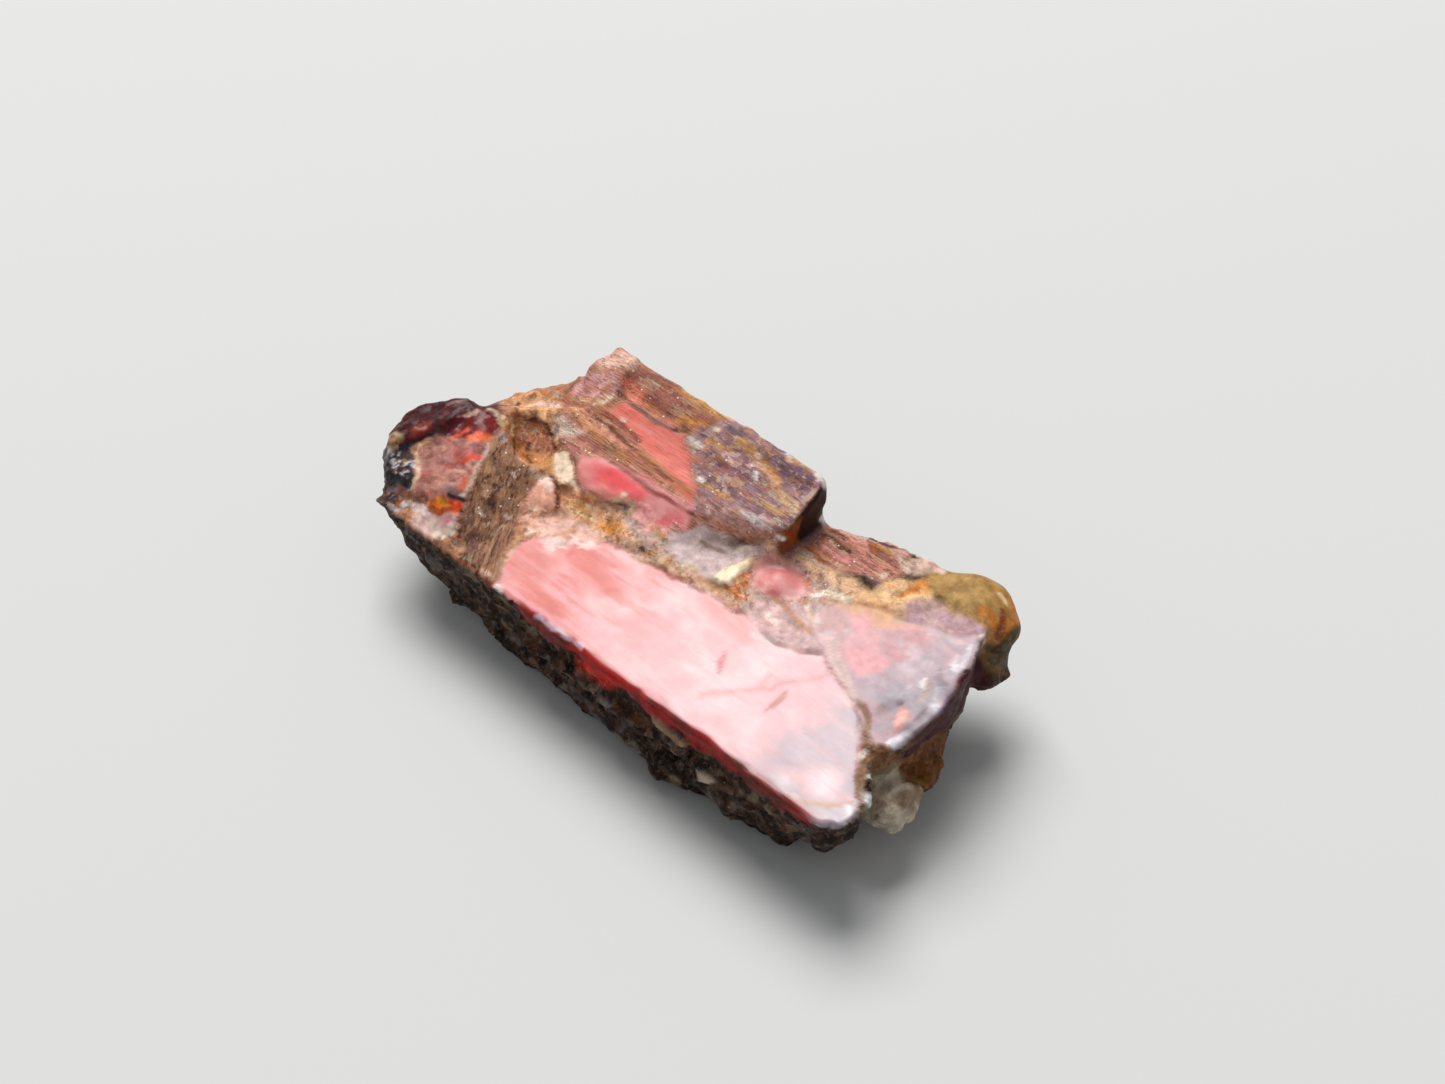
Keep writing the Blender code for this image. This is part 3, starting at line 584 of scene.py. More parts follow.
streaks(
    (0.06, (74, 40, 34), (2.55, 2.38, 4.27), (2.96, 2.47, 4.18), (3.46, 2.39, 4.19), (3.79, 2.42, 4.16)),
    (0.06, (92, 52, 46), (2.56, 2.67, 4.24), (3.01, 2.74, 4.17), (3.43, 2.68, 4.19)),
    (0.06, (138, 84, 68), (2.71, 1.74, 4.15), (3.23, 1.74, 4.12), (3.84, 1.69, 4.12)),
    (0.22, (214, 138, 132), (3.2, 2.02, 4.2), (3.63, 2.11, 4.12), (4.11, 2.05, 4.19)),
    (0.11, (238, 186, 146), (3.63, 1.61, 4.1), (4.21, 1.51, 4.12), (4.54, 1.54, 4.1)),
    (0.14, (190, 100, 40), (4.11, 2.88, 4.28), (4.28, 3.1, 4.27)),
    (0.08, (204, 140, 84), (4.38, 2.98, 4.31), (4.67, 3.06, 4.29)),
    (0.11, (224, 186, 168), (3.7, 3.21, 4.12), (4.01, 3.24, 4.18)),
    (0.11, (240, 212, 190), (4.99, 3.1, 4.33), (5.27, 2.93, 4.27), (5.47, 2.87, 4.22)),
    (0.08, (96, 60, 60), (3.22, 3.09, 4.04), (3.77, 3.22, 4.14), (4.52, 3.25, 4.25), (5.02, 3.56, 4.16)),
    (0.08, (248, 226, 208), (4.73, 3.49, 4.2), (5.2, 3.62, 4.15), (5.72, 3.77, 4.17), (6.14, 3.78, 4.16)),
    (0.25, (226, 186, 168), (5.56, 3.17, 4.29), (5.79, 3.42, 4.18), (6.03, 3.56, 4.17)),
    (0.14, (222, 140, 70), (5.83, 2.09, 4.13), (5.92, 2.58, 4.13), (6.02, 2.95, 4.23)),
    (0.11, (246, 186, 130), (5.3, 1.48, 4.06), (5.72, 1.55, 4.08), (5.98, 1.91, 4.14)),
    (0.11, (240, 172, 116), (5.33, 2.19, 4.16), (5.66, 2.21, 4.15)),
    (0.22, (250, 200, 150), (5.51, 1.8, 4.12), (5.63, 2.17, 4.16)),
    (0.08, (244, 216, 190), (5.02, 2.31, 4.17), (5.1, 2.47, 4.18)),
    (0.33, (204, 128, 54), (7.84, 3.16, 4.13), (8.14, 3.14, 3.98)),
    (0.22, (138, 70, 22), (8.18, 3.6, 4.03), (8.35, 3.32, 3.84), (8.41, 3.09, 3.67)),
    (0.28, (74, 64, 38), (8.64, 3.18, 3.45), (8.65, 3.46, 2.93), (8.72, 3.19, 2.78)),
    (0.14, (44, 24, 12), (8.65, 3.43, 2.93), (8.72, 3.29, 2.7)),
    (0.22, (222, 196, 150), (7.79, 4.0, 4.15), (7.94, 4.0, 4.02)),
    (0.14, (236, 216, 200), (8.26, 2.44, 4.08), (8.27, 2.68, 3.58)))


# The middle band between plate and slab: a grey lilac ledge, an ochre crust at its left and along
# the plate's edge, a rose window like a drop, and a cream flake of feldspar.
FLAKE_HEIGHT = 0.12
ROSE_ROUGHNESS, ROSE_GLOW, ROSE_SHINE = 0.42, 0.5, 0.05
BAND_LILAC, ROSE_DEEP, ROSE_PALE = (206, 176, 164), (206, 118, 112), (246, 196, 188)
NOTCH_PINK, NOTCH_GREY, FLAKE_CREAM, FLAKE_OCHRE = (228, 188, 184), (196, 162, 160), (255, 238, 206), (222, 176, 120)
middle = patch([(-3.98, -1.09), (-3.47, -0.87), (-2.76, -0.68), (-2.13, -0.59), (-1.64, -0.27), (-1.18, -0.27),
               (-0.44, 0.02), (0.05, 0.28), (0.72, 0.41), (1.41, 0.48), (2.09, 0.71), (2.28, 0.98), (2.6, 1.3),
               (2.6, 1.6), (3.5, 1.6), (4.14, 1.11), (4.6, 0.9), (4.3, 0.2), (4.48, -0.1), (5.3, -0.6), (4.65, -1.01),
               (3.82, -1.08), (2.72, -0.86), (1.91, -0.98), (1.07, -1.09), (0.06, -1.22), (-1.32, -1.33),
               (-2.07, -1.46), (-2.83, -1.5), (-3.55, -1.48)], 0.08, low=0.1)
lay(middle, BAND_LILAC, 0.5)
crusty = turned_to(crusty, middle, 0.45)
speckled = turned_to(speckled, middle, 0.42)
ROSE_WINDOW = [(2.18, 0.12), (2.33, 0.57), (2.71, 0.96), (3.12, 1.13), (3.48, 1.04), (3.88, 0.75), (3.84, 0.31),
               (3.37, 0.02), (2.95, -0.12), (2.39, -0.11)]
LEDGE = [(-0.28, -0.68), (-0.44, 0.02), (0.05, 0.28), (0.72, 0.41), (1.41, 0.48), (2.09, 0.71), (1.9, 0.43),
         (1.67, 0.0), (1.57, -0.43), (1.64, -0.81), (1.27, -0.98), (0.39, -0.85)]
patches(
    EVERYWHERE,
    ((210, 186, 184), 0.16, 0.95, *LEDGE),
    ((196, 160, 152), 0.12, 0.9, (-2.03, -0.44), (-1.64, -0.27), (-1.18, -0.27), (-0.47, -0.79), (-0.75, -1.06),
     (-1.44, -0.8)),
    ((228, 170, 128), 0.1, 0.9, (-3.98, -1.09), (-3.47, -0.87), (-2.76, -0.68), (-2.13, -0.59), (-1.43, -0.9),
     (-0.85, -1.09), (-1.27, -1.26), (-2.09, -1.44), (-2.83, -1.5), (-3.55, -1.48)),
    ((226, 146, 70), 0.1, 0.85, (-2.49, -1.12), (-2.21, -0.83), (-1.8, -0.84), (-1.61, -1.11), (-2.06, -1.23)),
    ((234, 182, 150), 0.08, 0.85, (-1.23, -1.3), (-0.62, -1.12), (-0.4, -0.95), (0.22, -0.91), (0.84, -0.76),
     (1.34, -0.78), (2.13, -0.63), (2.72, -0.62), (2.72, -0.86), (1.91, -0.98), (1.07, -1.09), (0.06, -1.22)),
    ((222, 134, 78), 0.08, 0.9, (2.13, -0.63), (2.03, -0.2), (2.03, 0.2), (2.26, 0.12), (2.45, -0.33), (2.84, -0.43),
     (2.55, -0.68)),
    ((238, 158, 154), 0.14, 0.98, *ROSE_WINDOW),
    # Painted highlight: the rose window's top left edge.
    ((255, 206, 196), 0.15, 0.95, (2.25, 0.66), (2.58, 1.11), (2.78, 1.17), (2.74, 0.94), (2.42, 0.67)),
    ((226, 180, 172), 0.15, 0.9, (2.76, -0.51), (3.46, -0.07), (4.41, -0.26), (5.29, -0.62), (4.65, -1.01),
     (3.82, -1.08), (3.09, -0.79)),
    (WHITE, 0.08, 0.85, (3.4, -0.57), (3.59, -0.45), (4.05, -0.65), (3.9, -0.8)),
    (WHITE, 0.08, 0.85, (4.08, 0.28), (4.28, 0.46), (4.67, 0.09), (4.52, -0.06)),
    ((250, 210, 172), 0.1, 0.9, (1.31, 0.74), (1.92, 0.88), (2.46, 1.02), (2.78, 1.58), (3.47, 1.55), (3.97, 1.3),
     (3.48, 1.21), (2.95, 1.31), (2.28, 0.82), (1.67, 0.68)))
rose = patch(ROSE_WINDOW, 0.1, 0.22)
lay(rose, rough=ROSE_ROUGHNESS)
mottle(rose, (0.7, 0.3, 0.4), 58, -0.1, 0.6, ROSE_DEEP, strength=0.65)
mottle(rose, (0.5, 0.3, 0.4), 59, 0.15, 0.6, ROSE_PALE, strength=0.6)
clear(rose)
glow += ROSE_GLOW * rose
glassy = turned_to(glassy, rose, ROSE_SHINE)
cleaved = np.maximum(cleaved, rose)
notch = patch([(2.76, -0.45), (3.4, 0.0), (4.0, 0.2), (4.2, 0.5), (4.5, 0.1), (5.1, -0.3), (5.7, -0.6), (5.3, -0.9),
              (4.65, -1.1), (3.82, -1.2), (3.0, -0.95)], 0.15)
lay(notch, NOTCH_PINK, 0.42, 0.85)
mottle(notch, 0.5, 21, 0.0, 0.6, NOTCH_GREY, strength=0.6)
clear(notch, crust=0.8, specks=0.8)
flake = patch([(1.5, -0.63), (1.5, -0.26), (1.71, 0.03), (1.86, 0.27), (1.97, 0.43), (2.08, 0.15), (2.08, -0.25),
              (2.06, -0.63), (1.74, -0.64)], 0.05, 0.04)
lay(flake, FLAKE_CREAM, 0.4)
mottle(flake, 0.3, 60, 0.1, 0.4, FLAKE_OCHRE, strength=0.6, layers=2)
relief += FLAKE_HEIGHT * flake
clear(flake, crust=0.0)
ledge = patch(LEDGE, 0.12)
clear(ledge, crust=0.7, specks=0.85)
streaks(
    (0.08, (250, 238, 232), (0.81, 0.4, 4.31), (0.93, 0.42, 4.29)),
    (0.11, (142, 84, 46), (-4.08, -1.06, 3.98), (-3.79, -0.88, 3.82), (-3.26, -0.83, 3.84), (-2.83, -0.68, 3.98)),
    (0.11, (142, 64, 34), (-3.6, -0.82, 3.9), (-3.22, -0.79, 3.88), (-2.89, -0.71, 3.96)),
    (0.17, (206, 152, 96), (-3.79, -1.28, 3.7), (-3.5, -1.09, 3.67), (-3.07, -1.11, 3.65)),
    (0.17, (220, 144, 58), (-2.29, -1.16, 3.66), (-1.96, -1.09, 3.67)),
    (0.14, (214, 142, 60), (-1.96, -0.92, 3.78), (-1.69, -1.03, 3.81)),
    (0.08, (172, 128, 70), (-3.3, -0.96, 3.72), (-3.07, -1.11, 3.65), (-2.7, -1.07, 3.64)),
    (0.06, (250, 230, 200), (-2.77, -1.13, 3.63), (-2.7, -1.12, 3.63)),
    (0.08, (216, 178, 140), (-2.85, -0.67, 4.04), (-2.18, -0.44, 4.24), (-1.67, -0.32, 4.17), (-1.28, -0.33, 3.97)),
    (0.11, (206, 156, 104), (-1.18, -0.35, 3.9), (-0.82, -0.39, 3.93), (-0.5, -0.49, 3.91)),
    (0.08, (150, 116, 86), (-0.82, -1.12, 3.76), (-0.54, -1.08, 3.76), (-0.14, -1.1, 3.66), (0.28, -1.14, 3.67)),
    (0.11, (238, 206, 160), (-0.4, -1.03, 3.78), (-0.1, -1.06, 3.73), (0.21, -1.06, 3.72)),
    (0.08, (240, 220, 180), (0.51, -0.9, 3.81), (0.62, -0.77, 3.87)),
    (0.08, (234, 206, 160), (0.81, -0.81, 3.88), (0.95, -0.72, 3.9)),
    (0.08, (244, 212, 170), (-1.1, -1.07, 3.84), (-0.96, -1.14, 3.75)),
    (0.08, (226, 196, 140), (-1.85, -0.55, 3.95), (-1.76, -0.47, 4.07)),
    (0.08, (250, 240, 234), (0.78, 0.39, 4.33), (0.91, 0.41, 4.28)),
    (0.11, (190, 116, 92), (0.24, -1.25, 3.64), (0.55, -1.18, 3.66), (0.83, -1.08, 3.69)),
    (0.08, (190, 132, 104), (-0.92, -1.42, 3.6), (-0.47, -1.32, 3.59), (-0.09, -1.23, 3.63)),
    (0.14, (206, 156, 118), (1.21, -0.84, 3.78), (1.56, -0.73, 3.71), (2.03, -0.76, 3.76), (2.51, -0.79, 3.73)),
    (0.08, (242, 224, 208), (1.37, 0.39, 4.03), (1.62, 0.53, 4.21), (1.86, 0.68, 4.27)),
    (0.11, (156, 128, 116), (0.46, -0.04, 4.0), (0.78, 0.11, 3.95), (1.15, 0.23, 3.96)),
    (0.11, (226, 170, 158), (2.19, 0.68, 4.11), (2.42, 0.91, 4.18), (2.73, 1.23, 4.0), (3.2, 1.28, 3.98),
     (3.57, 1.1, 3.9)),
    # Painted shade: along the rose window's top right edge.
    (0.14, (206, 130, 122), (3.06, 1.02, 3.92), (3.44, 1.01, 3.88), (3.79, 0.77, 3.92)),
    (0.19, (254, 244, 208), (1.63, -0.57, 3.8), (1.78, -0.33, 3.87), (1.89, -0.04, 3.97)),
    (0.11, (250, 220, 160), (1.84, 0.01, 3.98), (1.9, 0.35, 4.0)),
    (0.14, (200, 116, 56), (2.16, -0.17, 3.94), (2.36, -0.32, 3.81), (2.37, -0.57, 3.77)),
    (0.11, (196, 124, 66), (2.01, -0.65, 3.81), (2.38, -0.65, 3.76)),
    (0.17, (240, 196, 158), (2.82, 1.46, 4.04), (3.3, 1.4, 4.03), (3.7, 1.44, 4.05)),
    (0.17, (248, 224, 196), (4.16, 1.0, 3.93), (4.52, 1.07, 3.98), (4.81, 1.15, 3.97)),
    (0.19, (244, 208, 188), (4.17, 0.26, 3.88), (4.47, 0.08, 3.85)),
    (0.14, (248, 226, 212), (3.46, -0.56, 3.69), (3.8, -0.62, 3.75)),
    (0.14, (250, 236, 228), (4.0, 0.73, 3.91), (4.07, 0.82, 3.92)),
    (0.11, (214, 160, 128), (3.28, -0.04, 3.79), (3.86, -0.12, 3.8), (4.34, -0.26, 3.79), (4.73, -0.3, 3.8)),
    (0.28, (212, 178, 174), (3.63, -1.22, 3.64), (4.2, -1.1, 3.72), (4.78, -0.75, 3.73), (5.0, -0.2, 3.76)),
    (0.28, (214, 176, 168), (5.33, -0.1, 3.77), (5.85, -0.55, 3.74), (6.56, -0.97, 3.7), (7.0, -1.25, 3.65)),
    (0.11, (190, 158, 146), (5.37, -0.07, 3.77), (5.89, -0.52, 3.75), (6.44, -0.84, 3.74), (6.88, -1.11, 3.68),
     (7.25, -1.15, 3.7)))


# The slab on the back: a thick blade of the same crystal, striated along its length. Its left half
# is clear enough to glow in two red windows; its right half is tarnished purple brown.
SLAB_BROWN, PURPLE, CORAL, STRIPE_OCHRE = (190, 124, 100), (158, 121, 127), (250, 130, 116), (216, 132, 100)
APRON_PAINTED_GLOW_PINK, APRON_PAINTED_GLOW_RED, END_PAINTED_SHADE, END_BROWN = (255, 176, 172), (255, 108, 112), (54, 28, 18), (140, 80, 38)
WINDOW_ROUGHNESS, WINDOW_GLOW, WINDOW_SHINE = 0.28, 0.7, 0.15
UPPER_GLOW = 0.5
APRON_GLOW = 0.9
APRON_ROUNDS = 80
SLAB = [(-6.3, 1.3), (-6.03, 0.84), (-5.6, 0.55), (-4.95, -0.11), (-4.43, -0.22), (-4.11, -0.4), (-3.87, -0.66),
        (-3.43, -0.72), (-2.86, -0.7), (-2.12, -0.42), (-1.41, -0.15), (-0.83, -0.35), (-0.12, -0.1), (0.3, 0.3),
        (0.98, 0.45), (1.67, 0.68), (2.28, 0.92), (2.7, 1.2), (2.9, 3.6), (-6.3, 3.6)]
apron = patch([(-2.2, -0.75), (-1.6, 0.1), (-0.3, 0.5), (0.5, 0.5), (0.6, -0.1), (-0.4, -0.6), (-1.3, -0.75)], 0.2,
              low=-0.9)
rub(apron, APRON_ROUNDS)
slab = patch(SLAB, 0.06, 0.05, low=0.0) * ramp(Z, 3.8, 4.0)
lay(slab, SLAB_BROWN, 0.42)
grooved = np.maximum(grooved * (1 - slab), slab)
clear(slab, specks=0.0)
speckled = turned_to(speckled, slab, 0.24)
patches(
    slab,
    ((158, 96, 80), 0.15, 0.9, (-4.67, 2.25), (-4.35, 2.9), (-3.28, 3.1), (-2.33, 3.1), (-1.41, 2.6), (-1.62, 2.17),
     (-2.26, 2.02), (-2.99, 1.96), (-3.61, 1.97), (-4.28, 2.04)),
    ((250, 140, 114), 0.12, 0.85, (-4.65, 2.02), (-4.4, 2.25), (-3.71, 2.2), (-3.34, 2.11), (-3.81, 1.96),
     (-4.37, 1.92)),
    ((228, 152, 122), 0.1, 0.8, (-6.03, 0.84), (-4.94, 1.04), (-3.69, 1.02), (-2.29, 0.82), (-1.08, 0.7),
     (-0.33, 0.48), (-0.91, 0.44), (-1.95, 0.38), (-3.29, 0.4), (-4.32, 0.42), (-5.1, 0.38)),
    ((192, 120, 112), 0.12, 0.9, (-4.95, -0.11), (-4.81, 0.33), (-4.21, 0.39), (-3.69, 0.28), (-4.02, -0.13),
     (-4.11, -0.46), (-4.43, -0.22)),
    (CORAL, 0.12, 0.9, (-4.44, 1.37), (-4.08, 1.74), (-3.33, 1.81), (-2.56, 1.84), (-1.91, 1.7), (-1.56, 1.53),
     (-1.17, 1.33), (-0.84, 1.05), (-0.42, 0.73), (-0.42, 0.49), (-0.93, 0.54), (-1.58, 0.65), (-2.32, 0.85),
     (-3.0, 1.05), (-3.77, 1.18)),
    ((250, 158, 154), 0.18, 0.95, (-4.11, -0.33), (-3.97, -0.02), (-3.54, 0.25), (-2.76, 0.27), (-2.0, 0.31),
     (-1.34, 0.32), (-0.74, 0.34), (-0.23, 0.29), (-0.35, 0.18), (-0.83, 0.03), (-1.41, -0.09), (-2.12, -0.38),
     (-2.86, -0.66), (-3.43, -0.69), (-3.87, -0.62)),
    ((255, 96, 102), 0.28, 0.95, (-3.6, -0.12), (-2.93, 0.18), (-2.1, 0.24), (-1.25, 0.2), (-1.0, -0.03),
     (-1.87, -0.22), (-2.6, -0.46), (-3.2, -0.44)),
    # Painted glow: the next two bright patches, the hot spot where light comes through the slab.
    ((255, 190, 184), 0.12, 0.8, (-1.47, -0.12), (-0.91, 0.12), (-0.16, 0.21), (-0.12, -0.07), (-0.67, -0.31),
     (-1.23, -0.3)),
    ((255, 150, 148), 0.1, 0.9, (-0.8, -0.08), (-0.52, 0.19), (-0.19, 0.16), (-0.32, -0.03), (-0.61, -0.12)),
    (PURPLE, 0.09, 0.97, (-1.78, 1.76), (-1.75, 2.17), (-1.3, 2.6), (-0.9, 3.5), (2.7, 3.5), (2.7, 0.95),
     (2.02, 0.95), (1.24, 0.7), (0.36, 0.4), (-0.28, 0.3), (-0.39, 0.86), (-1.09, 1.28)),
    ((118, 90, 102), 0.2, 0.8, (0.5, 2.76), (1.02, 3.2), (1.94, 3.2), (2.33, 2.7), (2.15, 2.15), (1.7, 2.04),
     (1.07, 2.34)),
    ((154, 104, 112), 0.2, 0.7, (-0.85, 1.56), (-0.34, 2.03), (0.41, 2.24), (0.83, 1.99), (0.27, 1.58),
     (-0.45, 1.41)),
    ((206, 150, 96), 0.1, 0.5, (-0.47, 2.38), (0.17, 2.5), (1.07, 2.34), (1.97, 1.87), (2.32, 1.72), (2.13, 1.53),
     (1.37, 1.81), (0.5, 2.15), (-0.24, 2.26)),
    ((190, 150, 116), 0.1, 0.85, (1.49, 2.78), (1.89, 2.85), (2.3, 2.95), (2.2, 3.3), (1.4, 3.2)),
    ((206, 156, 146), 0.08, 0.85, (-0.28, 0.66), (0.39, 0.84), (1.29, 0.88), (2.03, 1.0), (2.28, 0.98), (1.67, 0.75),
     (0.98, 0.53), (0.36, 0.39)),
    ((232, 216, 212), 0.06, 0.8, (1.09, 0.9), (1.35, 1.1), (1.89, 1.07), (1.73, 0.92), (1.34, 0.83)),
    ((214, 154, 92), 0.12, 0.9, (-2.94, 2.73), (-2.55, 2.82), (-2.01, 2.92), (-1.55, 2.97), (-1.06, 2.89),
     (-1.28, 2.72), (-1.87, 2.65), (-2.41, 2.59)),
    ((214, 132, 62), 0.1, 0.8, (-2.44, 2.21), (-2.05, 2.42), (-1.72, 2.35), (-2.01, 2.17)),
    ((248, 180, 180), 0.12, 0.9, (-6.17, 1.65), (-5.83, 1.93), (-5.18, 2.13), (-4.64, 2.0), (-4.39, 1.82),
     (-4.82, 1.42), (-5.51, 1.41), (-5.98, 1.38)),
    ((244, 196, 176), 0.1, 0.95, (-6.1, 2.12), (-5.84, 2.57), (-5.35, 2.9), (-4.89, 3.0), (-4.55, 2.83),
     (-4.56, 2.58), (-4.74, 2.31), (-5.22, 2.17), (-5.5, 2.02)), low=0.0)
windows = patch([(-4.11, -0.33), (-3.54, 0.25), (-0.23, 0.29), (-0.83, 0.03), (-2.86, -0.66), (-3.87, -0.62)], 0.12)
lay(windows, rough=WINDOW_ROUGHNESS)
clear(windows, crust=0.0, specks=0.0, grooves=1.0)
upper = patch([(-4.44, 1.37), (-4.08, 1.74), (-3.33, 1.81), (-1.91, 1.7), (-1.17, 1.33), (-0.42, 0.73), (-0.42, 0.49),
              (-1.58, 0.65), (-3.0, 1.05)], 0.15)
mottle(upper, (2.0, 0.2, 0.2), 47, 0.1, 0.6, STRIPE_OCHRE, strength=0.6)
clear(upper, crust=0.0, specks=0.9, grooves=0.65)
glow += UPPER_GLOW * upper
purple_part = patch([(-1.78, 1.76), (-1.3, 2.6), (-0.9, 3.5), (2.7, 3.5), (2.7, 0.95), (1.24, 0.7), (-0.28, 0.3),
                    (-0.39, 0.86), (-1.09, 1.28)], 0.12)
clear(purple_part, crust=0.0, specks=0.0, grooves=0.4)
speckled = np.maximum(speckled, 0.36 * purple_part * slab)
cleaved = np.maximum(cleaved, np.maximum(windows, upper))
clear(windows, crust=0.0, specks=0.9)
glow += WINDOW_GLOW * windows
# The apron below the lower window lies in the slab's shade; its bright pink and red are painted glow of light through
# the crystal.
apron *= ramp(Z + 0.3 * wander[:, 0], 3.95, 4.15) * ramp(X, -1.9, -1.5) * ramp(-X + 0.3 * wander[:, 1], 0.0, 0.3)
lay(apron, APRON_PAINTED_GLOW_PINK, 0.35, 0.85)
lay(apron * patch([(-0.95, -0.3), (-0.7, 0.05), (-0.25, 0.1), (-0.3, -0.3)], 0.2, low=-0.6), APRON_PAINTED_GLOW_RED,
    strength=0.85)
clear(apron, crust=0.0, grooves=1.0)
apron_core = patch([(-1.9, -0.5), (-1.5, 0.0), (-0.2, 0.35), (0.1, -0.1), (-0.6, -0.5), (-1.3, -0.5)], 0.15,
                   low=-0.3)
glow += APRON_GLOW * apron_core
glassy += WINDOW_SHINE * windows
# The slab's right end faces away from the window: its dark brown is painted shade over the crystal's own brown.
end_face = ramp(facing[:, 0], 0.35, 0.6) * ramp(X, 2.2, 2.4) * ramp(-X, -3.1, -2.9)
end_face *= ramp(Z, 4.1, 4.3) * ramp(Y, 0.9, 1.1)
lay(end_face, END_PAINTED_SHADE, 0.7)
clear(end_face, grooves=1.0)
lay(end_face * ramp(-Y + 0.2 * wander[:, 0], -1.75, -1.45), END_BROWN, 0.5, 0.85)
lay(patch([(2.31, 2.58), (2.16, 2.95), (2.38, 3.1), (2.65, 2.66)], 0.06, low=0.0), WHITE, 0.3, 0.9)
